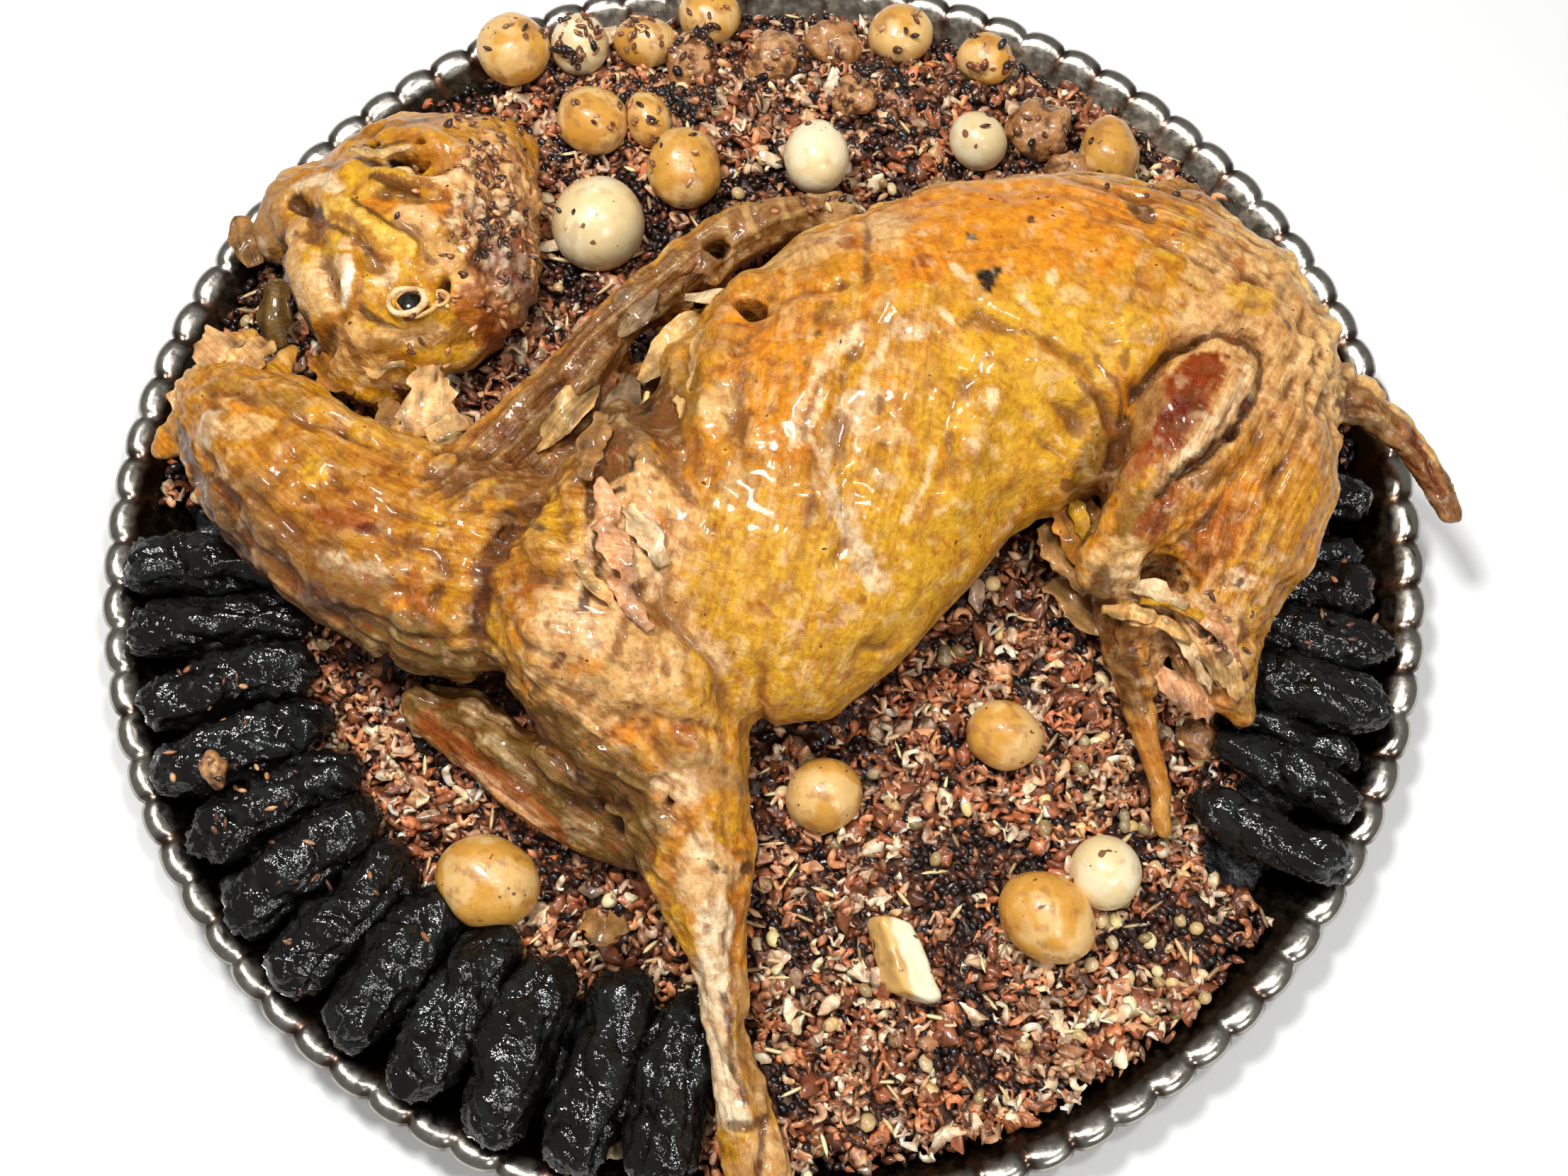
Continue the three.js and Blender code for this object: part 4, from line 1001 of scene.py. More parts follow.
def lamb_tones(points, quads):
    tones = mottled(points, flat_tones(points, SAFFRON), [
        (YELLOW, 1.0, -0.1, 0.5, 34, 90),
        (ORANGE, 0.6, 0.2, 0.7, 26, 91),
        (AMBER, 0.35, 0.4, 0.9, 15, 93),
        (PALE, 0.45, 0.5, 0.9, 8, 92),
    ])
    for path, width, thin, long in THREADS:
        thread = fibres(points, path, thin, long, 80)
        inside = zone(points, path, width, 12)
        tones = paint(tones, AMBER, 0.45 * inside * smooth_step(0.15, 0.9, thread))
        tones = paint(tones, PALE, 0.35 * inside * smooth_step(0.2, 0.9, -thread))
    taut = zone(points, TAUT_RUN, 46, 30)
    tones = mottled(points, tones, [
        (AMBER, 0.55 * (1 - 0.7 * taut), 0.15, 0.8, 9, 98),
        (AMBER, 0.35, 0.35, 0.9, 11, 103),
    ])
    tones = painted(points, tones, LAMB_SPOTS, LAMB_LINES, 30)
    tones = mottled(points, tones, [(CREAM, 0.28, 0.7, 1.0, 6, 101)])
    tones = paint(tones, RUST, 0.5 * smooth_step(0.84, 0.96, noise(points, 3.6, 102)))
    tones = mottled(points, tones, [(BROWN, 0.42 * (1 - 0.4 * taut), 0.35, 0.9, 5, 99)])
    streak = fibres(points, BARREL_RUN, 3.6, 20, 96)
    tones = paint(tones, PALE, 0.5 * zone(points, BARREL_RUN, 34, 20) * smooth_step(0.45, 0.9, streak))
    tones = paint(tones, TAN, 0.4 * zone(points, BARREL_RUN, 40, 20) * smooth_step(0.4, 0.9, -streak))
    # painted shade in the creases and underneath, and a painted highlight on the rises
    return with_painted_shade(points, quads, tones, 14, 0.22, 0.4, normals_of(points, quads)[:, 2])


LEAF_ROWS = 22
LEAF_AROUND = 28


def leaf_mesh(spine, widths, thickness, tone, curl, ragged, seed):
    """A thin wavy leaf of flesh or gristle along a spine of [x, y, z], closed, of even thickness."""
    spine = np.array(spine, float)
    t = np.linspace(0, 1, LEAF_ROWS)
    knots = np.linspace(0, 1, len(spine))
    middle = np.stack([np.interp(t, knots, spine[:, i]) for i in range(3)], axis=1)
    for _ in range(3):
        middle[1:-1] = (middle[:-2] + 2 * middle[1:-1] + middle[2:]) / 4
    width = np.interp(t, np.linspace(0, 1, len(widths)), widths)
    side, top = sides_of(middle)
    angle = 2 * np.pi * (np.arange(LEAF_AROUND) + 0.5) / LEAF_AROUND
    sheet = middle[:, None, :] + side[:, None, :] * (width[:, None] * np.cos(angle)[None, :])[:, :, None]
    flat = sheet.reshape(-1, 3)
    u, v = np.tile(np.cos(angle), LEAF_ROWS), np.tile(np.sin(angle), LEAF_ROWS)
    length = np.linalg.norm(np.diff(middle, axis=0), axis=1).sum()
    across = u * np.repeat(width, LEAF_AROUND)
    along = np.repeat(t, LEAF_AROUND) * length
    thread = noise(np.column_stack([across / 2.4, along / 16, 0 * across]), 1.0, seed + 5)
    wave = 1.6 * noise(flat, 9, seed) + 0.9 * thread + 0.3 * curl * np.abs(across) * np.abs(u)
    rag = ragged * noise(flat, 4, seed + 3) * np.abs(u) ** 3
    full = 0.6 + 0.4 * np.repeat(np.sin(np.pi * np.clip(t, 0.03, 0.97)), LEAF_AROUND)
    rise = wave + v * thickness * full
    flat = flat + np.repeat(top, LEAF_AROUND, axis=0) * rise[:, None]
    flat += np.repeat(side, LEAF_AROUND, axis=0) * (rag * u)[:, None]
    quads = tube_quads(LEAF_ROWS, LEAF_AROUND)
    centre = flat.mean(axis=0)
    a, b, c = (flat[quads[:, i]] - centre for i in range(3))
    if np.einsum("ij,ij->", a, np.cross(b, c)) < 0:
        quads = quads[:, ::-1]
    shade = 0.78 + 0.25 * noise(flat, 6, seed + 9) + 0.3 * thread
    return flat, quads, np.array(tone) * shade[:, None]


# Thin leaves on the lamb: (spine, half widths, thickness, tone, curl, ragged)
LEAVES = [
    ([(-62, 60, 106), (-50, 72, 112), (-36, 84, 114), (-22, 94, 108)], (2, 10, 11, 3), 1.6, PALE, 0.5, 0.5),
    ([(-66, 64, 104), (-70, 46, 110), (-71, 28, 106), (-69, 10, 100)], (3, 10, 9, 2), 1.5, GREY, 0.4, 0.3),
    ([(-84, 64, 100), (-92, 50, 108), (-103, 38, 106), (-114, 26, 98)], (2, 9, 9, 2), 1.6, PALE, 0.6, 0.4),
    ([(-78, 88, 104), (-66, 98, 112), (-56, 110, 110)], (6, 12, 4), 1.4, GREY, 0.5, 0.3),
    ([(-40, 104, 112), (-20, 102, 116), (2, 90, 120), (12, 78, 130)], (2, 5, 4, 1), 1.4, CREAM, 0.2, 0.0),
    ([(-58, 52, 112), (-62, 30, 112), (-66, 8, 114), (-72, -18, 158)], (1.5, 1.5), 1.2, PALE, 0.0, 0.0),
    ([(-48, 44, 112), (-44, 30, 114), (-38, 16, 118)], (1, 2, 1), 1.0, CREAM, 0.0, 0.0),
    ([(-30, 76, 132), (-26, 58, 140), (-27, 40, 143), (-34, 22, 148)], (3, 9, 9, 3), 1.8, BEIGE, 1.0, 1.2),
    ([(-34, 52, 136), (-36, 38, 140), (-38, 24, 146)], (3, 7, 3), 1.6, PALE, 0.8, 1.6),
    ([(-286, 66, 88), (-282, 80, 92), (-276, 92, 90)], (8, 14, 9), 1.8, FLESH, 0.9, 3.4),
    ([(-272, 60, 92), (-264, 78, 94), (-258, 92, 88)], (6, 9, 4), 1.8, BEIGE, 0.9, 3.0),
    ([(-300, 52, 82), (-296, 68, 84), (-290, 78, 82)], (5, 8, 4), 1.8, FLESH, 0.6, 2.6),
    ([(-171, 82, 88), (-171, 60, 93), (-168, 38, 88)], (5, 11, 18), 1.8, FLESH, 1.1, 3.0),
    ([(-196, 60, 82), (-190, 50, 86), (-184, 38, 86)], (4, 8, 5), 1.8, TAN, 0.9, 2.8),
    ([(-170, 34, 92), (-156, 42, 88), (-140, 44, 80)], (5, 9, 2), 1.6, PALE, 0.7, 1.4),
    ([(-76, -12, 158), (-70, -28, 161), (-72, -46, 159)], (2, 6, 2), 1.4, PINK, 0.8, 1.6),
    ([(-60, -18, 158), (-54, -30, 158), (-50, -44, 154)], (2, 5, 2), 1.3, PINK, 0.8, 1.6),
    ([(-86, -52, 158), (-76, -66, 158), (-62, -78, 154)], (2, 4, 2), 1.2, PALE, 0.6, 1.4),
    ([(206, -70, 96), (222, -82, 96), (236, -98, 84)], (4, 9, 3), 1.6, PALE, 0.8, 1.8),
    ([(196, -84, 78), (212, -96, 74), (224, -104, 66)], (4, 9, 4), 1.8, PINK, 0.6, 1.8),
    ([(176, -46, 100), (190, -52, 110), (206, -60, 112)], (2, 5, 2), 1.4, CREAM, 0.6, 1.2),
    ([(168, -56, 92), (182, -60, 100), (196, -66, 104)], (2, 5, 2), 1.4, PALE, 0.6, 1.4),
    ([(206, -60, 108), (222, -70, 106), (238, -90, 86)], (2, 5, 1.5), 1.3, PINK, 0.6, 1.4),
    ([(196, -64, 104), (208, -78, 98), (220, -96, 84)], (2, 4, 1.5), 1.3, CREAM, 0.6, 1.4),
    ([(-76, -34, 160), (-66, -48, 160), (-60, -64, 158)], (3, 8, 3), 1.4, PINK, 0.9, 2.0),
    ([(-64, -28, 160), (-52, -40, 157), (-46, -54, 154)], (3, 7, 3), 1.4, CREAM, 0.9, 2.0),
    ([(-70, -60, 160), (-60, -74, 158), (-52, -86, 155)], (2, 6, 2), 1.3, PINK, 0.8, 1.8),
    ([(-84, -12, 158), (-80, 6, 154), (-76, 24, 150)], (3, 7, 3), 1.4, TAN, 0.9, 1.8),
    ([(184, -56, 106), (200, -58, 110), (216, -66, 106)], (2, 4, 2), 1.4, YELLOW, 0.5, 0.6),
    ([(180, -64, 98), (196, -66, 104), (210, -76, 98)], (2, 4, 2), 1.4, PALE, 0.5, 0.6),
    ([(-86, -204, 64), (-76, -210, 70), (-66, -206, 64)], (4, 8, 3), 1.8, TAN, 0.9, 2.6),
    ([(144, 16, 101), (154, -4, 98), (162, -22, 94), (171, -42, 90)], (5, 13, 14, 8), 2.2, AMBER, 0.3, 2.0),
    ([(140, -10, 86), (152, -26, 82), (166, -42, 84)], (5, 10, 8), 2.0, TAN, 0.5, 2.4),
    ([(148, -32, 68), (160, -46, 64), (174, -60, 68)], (6, 11, 6), 2.0, TAN, 0.9, 2.8),
    ([(150, 6, 104), (158, -14, 101), (166, -34, 97)], (2, 5, 2), 1.4, YELLOW, 0.7, 2.0),
    ([(198, 146, 120), (210, 158, 120), (226, 160, 112)], (5, 9, 4), 2.0, TAN, 0.8, 2.0),
]


def place_lamb(material):
    points, quads = lamb_mesh()
    parts = [(points, quads, lamb_tones(points, quads))]
    for i, leaf in enumerate(LEAVES):
        parts.append(leaf_mesh(*leaf, seed=200 + i))
    points, quads, tones = joined_meshes(parts)
    make_object("roast_lamb", points, quads, material, tones, ("lamb",), flow_of(points))


# The head
HEAD_VOXEL = 1.8

# The same kinds of lists as the lamb's
HEAD_STROKES = [
    (-5.5, 4, [(-202, 176), (-190, 168), (-176, 165), (-160, 166), (-153, 154), (-156, 142), (-165, 132)]),
    (4.0, 4, [(-196, 160), (-180, 158), (-166, 158)]),
    (-4.0, 6, [(-222, 208), (-204, 212), (-186, 206), (-168, 196), (-154, 184)]),
    (5.0, 4, [(-236, 150), (-228, 138), (-222, 118), (-216, 98)]),
    (6.0, 5, [(-202, 184), (-188, 177), (-172, 174), (-158, 176)]),
    (9.0, 4, [(-250, 171), (-243, 166), (-234, 158), (-224, 149)]),
    (-6.0, 7, [(-220, 155), (-209, 145), (-198, 137), (-181, 128)]),
    (3.5, 4, [(-216, 148), (-204, 132), (-196, 118), (-190, 106)]),
    (3.0, 4, [(-190, 150), (-178, 138), (-170, 122), (-168, 112)]),
    (3.0, 5, [(-236, 142), (-228, 124), (-220, 104), (-214, 92)]),
    (2.5, 4, [(-240, 200), (-224, 190), (-208, 188)]),
    (2.5, 4, [(-226, 212), (-208, 206), (-190, 210), (-172, 218)]),
    (2.5, 4, [(-176, 240), (-160, 226), (-150, 206), (-148, 186)]),
    (3.0, 4, [(-268, 170), (-262, 156), (-258, 144)]),
    (3.0, 4, [(-150, 176), (-142, 156), (-144, 130)]),
    (3.0, 4, [(-202, 86), (-186, 84), (-168, 88), (-156, 96)]),
    (-2.5, 4, [(-199, 112), (-190, 116), (-178, 118), (-166, 114)]),
]
HEAD_HOLLOWS = [
    (16, 11, 6, 15, -183, 181),
    (8, 4, 4, 0, -204, 197),
    (8, 4, 3, 0, -178, 195),
    (9, 8.0, 7.5, 0, -180, 100),
    (9, 7, 3, 70, -163, 106),
    (-4, 15, 12, -70, -216, 112),
    (-3, 14, 10, 30, -214, 176),
    (-3, 16, 9, -20, -176, 146),
    (7, 7, 4, 0, -255, 142),
    (6, 8, 5, 0, -230, 88),
]
HEAD_SPOTS = [
    (YELLOW, 0.8, 30, 44, 0, -200, 150),
    (SAFFRON, 0.7, 40, 16, -10, -196, 205),
    (AMBER, 0.6, 18, 12, -20, -236, 184),
    (TAN, 0.8, 20, 34, -20, -276, 164),
    (IVORY, 0.7, 6, 5, 0, -274, 158),
    (FLESH, 0.85, 26, 56, 8, -136, 150),
    (IVORY, 0.9, 13, 20, 0, -138, 148),
    (ASH, 0.85, 11, 14, 0, -132, 126),
    (RUST, 0.75, 15, 13, 0, -144, 100),
    (BLOOD, 0.6, 8, 8, 0, -140, 96),
    (BLOOD, 0.6, 5, 26, 0, -126, 128),
    (BLOOD, 0.7, 4, 4, 0, -130, 165),
    (BROWN, 0.6, 5, 4, 0, -135, 172),
    (YELLOW, 0.9, 24, 24, 0, -227, 112),
    (PALE, 0.98, 18, 17, 0, -227, 112),
    (CREAM, 0.5, 12, 8, 30, -224, 118),
    # painted highlights: this white streak and the two cream spots after it
    (PAINTED_HIGHLIGHT, 1.0, 3.8, 14, -4, -212, 111),
    (CREAM, 0.8, 6, 5, 0, -194, 112),
    (CREAM, 0.6, 3, 3, 0, -200, 128),
    (AMBER, 0.8, 9, 4, -10, -187, 198),
    (AMBER, 0.75, 12, 6, -20, -170, 185),
    (RUST, 0.6, 5, 3, 0, -166, 174),
    (CREAM, 0.7, 5, 4, 0, -150, 178),
    (OLIVE, 0.7, 3, 2.4, 0, -151, 181),
    (ORANGE, 0.85, 11, 7, -10, -193, 152),
    (AMBER, 0.6, 6, 5, 0, -196, 150),
    (FLESH, 0.85, 13, 11, 0, -177, 144),
    (ORANGE, 0.75, 5, 8, 0, -163, 152),
    (RUST, 0.75, 5, 2.4, 0, -168, 121),
    (BEIGE, 0.7, 18, 12, 0, -206, 84),
    (YELLOW, 0.8, 24, 15, 0, -178, 88),
    (AMBER, 0.7, 10, 4, 10, -186, 74),
    (PALE, 0.6, 14, 10, 0, -160, 124),
    # painted shade: brown and black in the upper eye socket
    (BROWN, 0.75, 9, 6, -30, -188, 181),
    (BLACK, 0.97, 6, 3.4, -32, -188, 180),
    (BLACK, 0.9, 4, 2.4, 0, -183, 214),
    # painted shade: black in a small hole
    (BLACK, 0.9, 3.0, 2.5, 0, -204, 197),
    # painted shade: black in a small slit
    (BLACK, 0.85, 2, 4.5, 0, -154, 155),
    # painted shade: black in the slit at the eye's corner
    (BLACK, 0.9, 5.0, 2.2, 70, -163, 106),
]
HEAD_LINES = [
    # painted shade: dark in the slot of the nostril
    (UMBER, 0.97, 4.6, [(-250, 171), (-243, 166), (-234, 158), (-224, 149)]),
    (CREAM, 0.9, 5, [(-246, 180), (-230, 178), (-219, 166)]),
    (CREAM, 0.7, 3.4, [(-214, 130), (-200, 128), (-188, 118)]),
    (UMBER, 0.85, 2.2, [(-206, 100), (-196, 90), (-180, 84), (-164, 88)]),
    (UMBER, 0.8, 2, [(-224, 148), (-213, 137), (-203, 128), (-190, 122)]),
    (UMBER, 0.8, 2, [(-210, 156), (-198, 147), (-184, 138), (-176, 130)]),
    (UMBER, 0.8, 2, [(-246, 92), (-236, 94), (-222, 92), (-210, 98)]),
    (UMBER, 0.85, 2, [(-202, 170), (-190, 163), (-176, 160)]),
    (BROWN, 0.8, 2, [(-164, 140), (-152, 138), (-148, 128)]),
    (BROWN, 0.7, 2, [(-244, 148), (-232, 142), (-218, 144)]),
    (BROWN, 0.75, 2, [(-196, 168), (-184, 164), (-170, 162)]),
    (UMBER, 0.8, 1.8, [(-212, 196), (-200, 192), (-190, 196)]),
    (BROWN, 0.7, 2, [(-222, 96), (-214, 86), (-208, 74)]),
    (BROWN, 0.8, 3, [(-234, 153), (-226, 146)]),
    (UMBER, 0.85, 5, [(-256, 152), (-253, 132), (-247, 112), (-238, 98)]),
    (CREAM, 0.85, 2.4, [(-196, 181), (-185, 172), (-173, 168), (-164, 167), (-159, 171)]),
    (CREAM, 0.8, 2.4, [(-157, 158), (-158, 148), (-159, 138)]),
    (GOLD, 0.98, 6.5, [(-220, 155), (-209, 145), (-198, 137), (-181, 128)]),
    (AMBER, 0.8, 2.4, [(-221, 152), (-206, 138), (-196, 128), (-190, 121)]),
    (AMBER, 0.8, 2.6, [(-209, 134), (-206, 120), (-208, 100), (-218, 95), (-231, 95)]),
    (BROWN, 0.6, 3, [(-226, 212), (-208, 206), (-190, 210), (-172, 218)]),
    (BROWN, 0.7, 3, [(-232, 190), (-218, 186), (-204, 190)]),
    (BROWN, 0.7, 4, [(-202, 82), (-186, 80), (-168, 84), (-156, 92)]),
    (PALE, 0.8, 3, [(-198, 86), (-180, 84), (-166, 90)]),
]
HEAD_LEAVES = [
    ([(-236, 92, 66), (-226, 78, 70), (-212, 70, 74)], (5, 9, 4), 2.0, AMBER, 0.6, 1.8),
    ([(-212, 84, 88), (-198, 76, 90), (-184, 78, 92)], (4, 7, 3), 1.8, PALE, 0.6, 1.6),
    ([(-176, 82, 88), (-162, 82, 84), (-150, 90, 80)], (4, 6, 3), 1.8, PINK, 0.6, 1.8),
    ([(-286, 180, 56), (-284, 166, 56), (-278, 152, 52)], (5, 9, 5), 2.0, TAN, 0.6, 1.4),
    ([(-262, 140, 60), (-264, 120, 54), (-262, 104, 50)], (5, 10, 5), 2.0, OLIVE, 0.5, 1.0),
    ([(-214, 186, 116), (-198, 180, 122), (-182, 186, 120)], (1.5, 3, 1.5), 1.4, PALE, 0.3, 0.8),
]
EYE_CENTRE = (-180.5, 100, 116)
EYE_RINGS = [  # (offset from the eye's centre, radius, thickness, lean, colour): lid, fold, corner
    ((0, 0, 0), 9.0, 1.9, -0.3, CREAM),
    ((5, 1, -2.4), 9.5, 1.3, -0.2, PALE),
    ((15.5, 3, -3.0), 4.6, 1.2, -0.3, PALE),
]
EYE_BALLS = [  # (offset, radii, colour): eyeball, pupil, corner
    ((0, 0, -5.5), (8.5, 8.5, 4.0), BROWN),
    ((0.4, 0, -2.4), (6.0, 6.2, 2.0), BLACK),
    ((15.5, 3, -4.5), (3.0, 4.2, 2.0), UMBER),
]


def ring_mesh(offset, radius, wire, lean, tone):
    """A rolled ring of flesh at the eye, which leans back by an angle in radians."""
    around, section = 48, 14
    a = 2 * np.pi * np.arange(around) / around
    b = 2 * np.pi * np.arange(section) / section
    thick = wire * (1 + 0.25 * np.sin(a + 0.6))
    r = radius * (1 + 0.05 * np.sin(2 * a + 0.4))[:, None] + thick[:, None] * np.cos(b)[None, :]
    x = r * np.cos(a)[:, None]
    y = r * np.sin(a)[:, None]
    z = thick[:, None] * np.sin(b)[None, :]
    y, z = y * math.cos(lean) - z * math.sin(lean), y * math.sin(lean) + z * math.cos(lean)
    points = np.stack([x, y, z], axis=-1).reshape(-1, 3) + np.add(EYE_CENTRE, offset)
    points += 0.6 * noise(points, 5, 3)[:, None] * np.array([0.3, 0.3, 1])
    index = np.arange(around * section).reshape(around, section)
    far = np.roll(index, -1, 0)
    quads = np.stack([index, far, np.roll(far, -1, 1), np.roll(index, -1, 1)], axis=-1).reshape(-1, 4)
    return points, quads, flat_tones(points, tone)


def ball_mesh(offset, radii, tone):
    """A closed ball at the eye, of quads between two small caps."""
    columns, rows = 24, 14
    up = np.linspace(0.06, np.pi - 0.06, rows)
    around = 2 * np.pi * np.arange(columns) / columns
    x = np.sin(up)[:, None] * np.cos(around)[None, :]
    y = np.sin(up)[:, None] * np.sin(around)[None, :]
    z = np.repeat(np.cos(up)[:, None], columns, axis=1)
    points = np.stack([x, y, z], axis=-1).reshape(-1, 3) * np.array(radii) + np.add(EYE_CENTRE, offset)
    return points, tube_quads(rows, columns, turned=True), flat_tones(points, tone)


def place_head(material):
    points, quads, normals = carved("lamb_head", HEAD_VOXEL, 3, 14, HEAD_STROKES, HEAD_HOLLOWS, 130, (50, 80))
    crust = smooth_step(1.15, 0.7, spot_distance(points[:, :2], -136, 150, 28, 60, 8))
    bulge = 0.9 * rough_noise(points, 20, 160) + 0.2 * rough_noise(points, 6, 161)
    bulge += crust * 1.6 * rough_noise(points, 5, 162)
    bulge += 1.5 * crumple(points, 22, 167) + 0.3 * crumple(points, 9, 177)
    points = points + normals * bulge[:, None]
    tones = mottled(points, flat_tones(points, SAFFRON), [
        (AMBER, 0.4, 0.1, 0.9, 18, 163),
        (PALE, 0.4, 0.2, 0.9, 12, 164),
        (CREAM, 0.4, 0.5, 0.8, 6, 168),
        (AMBER, 0.5, 0.4, 0.7, 9, 169),
    ])
    tones = painted(points, tones, HEAD_SPOTS, HEAD_LINES, 130)
    tones = mottled(points, tones, [(MAROON, 0.7 * crust, 0.1, 0.5, 5, 166)])
    # painted shade in the creases and underneath
    tones = with_painted_shade(points, quads, tones, 12, 0, 0.6, normals[:, 2])
    parts = [(points, quads, tones)]
    parts += [ring_mesh(*ring) for ring in EYE_RINGS] + [ball_mesh(*ball) for ball in EYE_BALLS]
    for i, leaf in enumerate(HEAD_LEAVES):
        parts.append(leaf_mesh(*leaf, seed=260 + i))
    points, quads, tones = joined_meshes(parts)
    flow = points / np.array([7, 3.2, 4]), 0.5 * np.ones(len(points))
    make_object("roast_head", points, quads, material, tones, ("lamb_head",), flow)


# The small pieces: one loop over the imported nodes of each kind
ROLL_VOXEL = 2.0
CHAR = (0.0065, 0.0055, 0.0045)
# a painted sheen on the black leaf, and painted shade for its folds
PAINTED_SHEEN = (0.013, 0.015, 0.013)
FOLD_SHADE = (0.001, 0.001, 0.001)
WEDGE_VOXEL = 1.2
WEDGE_EDGE = (64.0, -210.3)  # x and y of a point on the edge between its cut side and its skin
WEDGE_SLOPE = 0.313
POTATO_TONE = (0.68, 0.35, 0.06)
EGG_TONE = (0.82, 0.65, 0.35)
MEAT_TONE = (0.50, 0.23, 0.075)

# Blotches: (colour, strength, size, least noise that shows it)
POTATO_BLOTCHES = [((0.84, 0.58, 0.25), 0.7, 18, -0.1), ((0.40, 0.17, 0.05), 0.6, 6, 0.5)]
EGG_BLOTCHES = [((0.92, 0.84, 0.62), 0.6, 16, 0.1), ((0.60, 0.42, 0.2), 0.5, 8, 0.55)]
MEAT_BLOTCHES = [((0.66, 0.38, 0.16), 0.7, 7, 0.1), ((0.10, 0.035, 0.015), 0.8, 6, 0.3)]
POTATO_FLESH = (0.96, 0.88, 0.62)
POTATO_RIND = (0.80, 0.50, 0.16)


def piece_names(stem):
    return sorted(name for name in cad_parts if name.startswith(stem))


def place_rolls(material):
    for i, name in enumerate(piece_names("black_roll")):
        points, quads, normals = skin_of(name, ROLL_VOXEL, 7, 1.2)
        middle = points.mean(axis=0)
        outward = np.array([middle[0], middle[1], 0]) / math.hypot(middle[0], middle[1])
        run = (points - middle) @ outward
        swirl = points + np.outer(run, outward) * -0.55
        folds = np.abs(noise(swirl, 11, 300 + i))
        bulge = 2.6 * noise(points, 15, 320 + i) - 2.4 * smooth_step(0.28, 0.0, folds)
        bulge += 1.6 * smooth_step(0.22, 0.0, np.abs(noise(swirl, 6.5, 340 + i))) - 0.3
        bulge += 0.5 * rough_noise(points, 6, 345 + i)
        points = points + normals * bulge[:, None]
        # painted sheen: paler green-grey patches on the black leaf
        tones = mottled(points, flat_tones(points, CHAR), [(PAINTED_SHEEN, 1.0, 0.2, 0.9, 7, 360 + i)])
        # painted shade: near black in the folds and hollows of the leaf
        tones = paint(tones, FOLD_SHADE, smooth_step(0.1, 1.0, hollow_depth(points, quads, 8)))
        make_object(f"stuffed_roll_{i + 1:02d}", points, quads, material, tones, (name,))


def place_rounds(stem, title, slot, material, voxel, light, grow, bulges, base, blotches):
    """Potatoes, eggs and chunks of meat: their node's form without its facets, with low bulges
    [size, height] and blotches of colour."""
    for i, name in enumerate(piece_names(stem)):
        points, quads, normals = skin_of(name, voxel, light, grow)
        bulge = sum(height * noise(points, size, 400 + 7 * i + k) for k, (size, height) in enumerate(bulges))
        points = points + normals * bulge[:, None]
        tones = flat_tones(points, base) * (0.94 + 0.12 * rng.random())
        for k, (colour, strength, size, start) in enumerate(blotches):
            patch = rough_noise(points, size, 500 + 11 * i + k)
            tones = paint(tones, colour, strength * smooth_step(start, start + 0.5, patch))
        low_part = smooth_step(10, 0, points[:, 2] - points[:, 2].min())
        tones = paint(tones, BROWN, 0.5 * low_part)
        make_object(f"{title}_{i + 1:02d}", points, quads, material, tones, (name,))


def place_wedge(material):
    points, quads, normals = skin_of("potato_wedge", WEDGE_VOXEL, 4, 0.2)
    points = points + normals * (0.5 * noise(points, 8, 601) + 0.2 * noise(points, 3, 602))[:, None]
    ridge = WEDGE_EDGE[0] + WEDGE_SLOPE * (WEDGE_EDGE[1] - points[:, 1])
    skin = smooth_step(1.4, -1.4, points[:, 0] - ridge + 0.8 * noise(points, 6, 604))
    tones = paint(flat_tones(points, POTATO_FLESH), POTATO_RIND, skin)
    tones = mottled(points, tones, [(TAN, 0.5 * skin, 0.1, 0.8, 7, 603)])
    make_object("cut_potato", points, quads, material, tones, ("potato_wedge",))


# The bed of rice: a bumpy core, its brown painted dark as the shade between the grains, with real grains,
# shreds and kernels over it
BED_VOXEL = 3.2
BED_REACH = 324.0
SHELL = 6.0  # grains lie up to this far inside the food's surface
ROLL_ARCS = [(176, 257, 258), (-38, 8, 276)]  # first and last angle and inner radius of the rows of rolls
# the core's brown, darkened as painted shade where it shows between the grains
CORE_BROWN_IN_SHADE = (0.06, 0.022, 0.010)
CORE_BROWN = (0.16, 0.065, 0.03)
CORE_SHADE = (0.004, 0.004, 0.004)
BROWN_RICE = [
    (0.42, 0.17, 0.075), (0.28, 0.09, 0.035), (0.66, 0.36, 0.20), (0.15, 0.045, 0.018),
    (0.07, 0.026, 0.014), (0.36, 0.10, 0.025),
]
NEARLY_BLACK = [(0.020, 0.008, 0.005), (0.05, 0.016, 0.008), (0.008, 0.006, 0.006), (0.12, 0.036, 0.014)]
SHRED_TONES = [(0.78, 0.42, 0.24), (0.62, 0.25, 0.11), (0.88, 0.60, 0.40), (0.42, 0.14, 0.06)]
CHIP_TONES = [(0.66, 0.32, 0.16), (0.40, 0.13, 0.05), (0.84, 0.55, 0.34), (0.22, 0.07, 0.03)]
KERNEL_TONES = [(0.66, 0.46, 0.20), (0.56, 0.40, 0.18), (0.80, 0.62, 0.34)]
ALMOND_TONES = [(0.80, 0.58, 0.30), (0.70, 0.46, 0.22)]
CRUMB_TONES = [
    (0.40, 0.17, 0.07), (0.2, 0.07, 0.03), (0.62, 0.34, 0.16), (0.12, 0.04, 0.02), (0.05, 0.02, 0.012),
]
DRIFT_TONES = [
    (0.016, 0.008, 0.006), (0.05, 0.018, 0.010), (0.012, 0.009, 0.008), (0.16, 0.05, 0.02),
    (0.30, 0.13, 0.05),
]


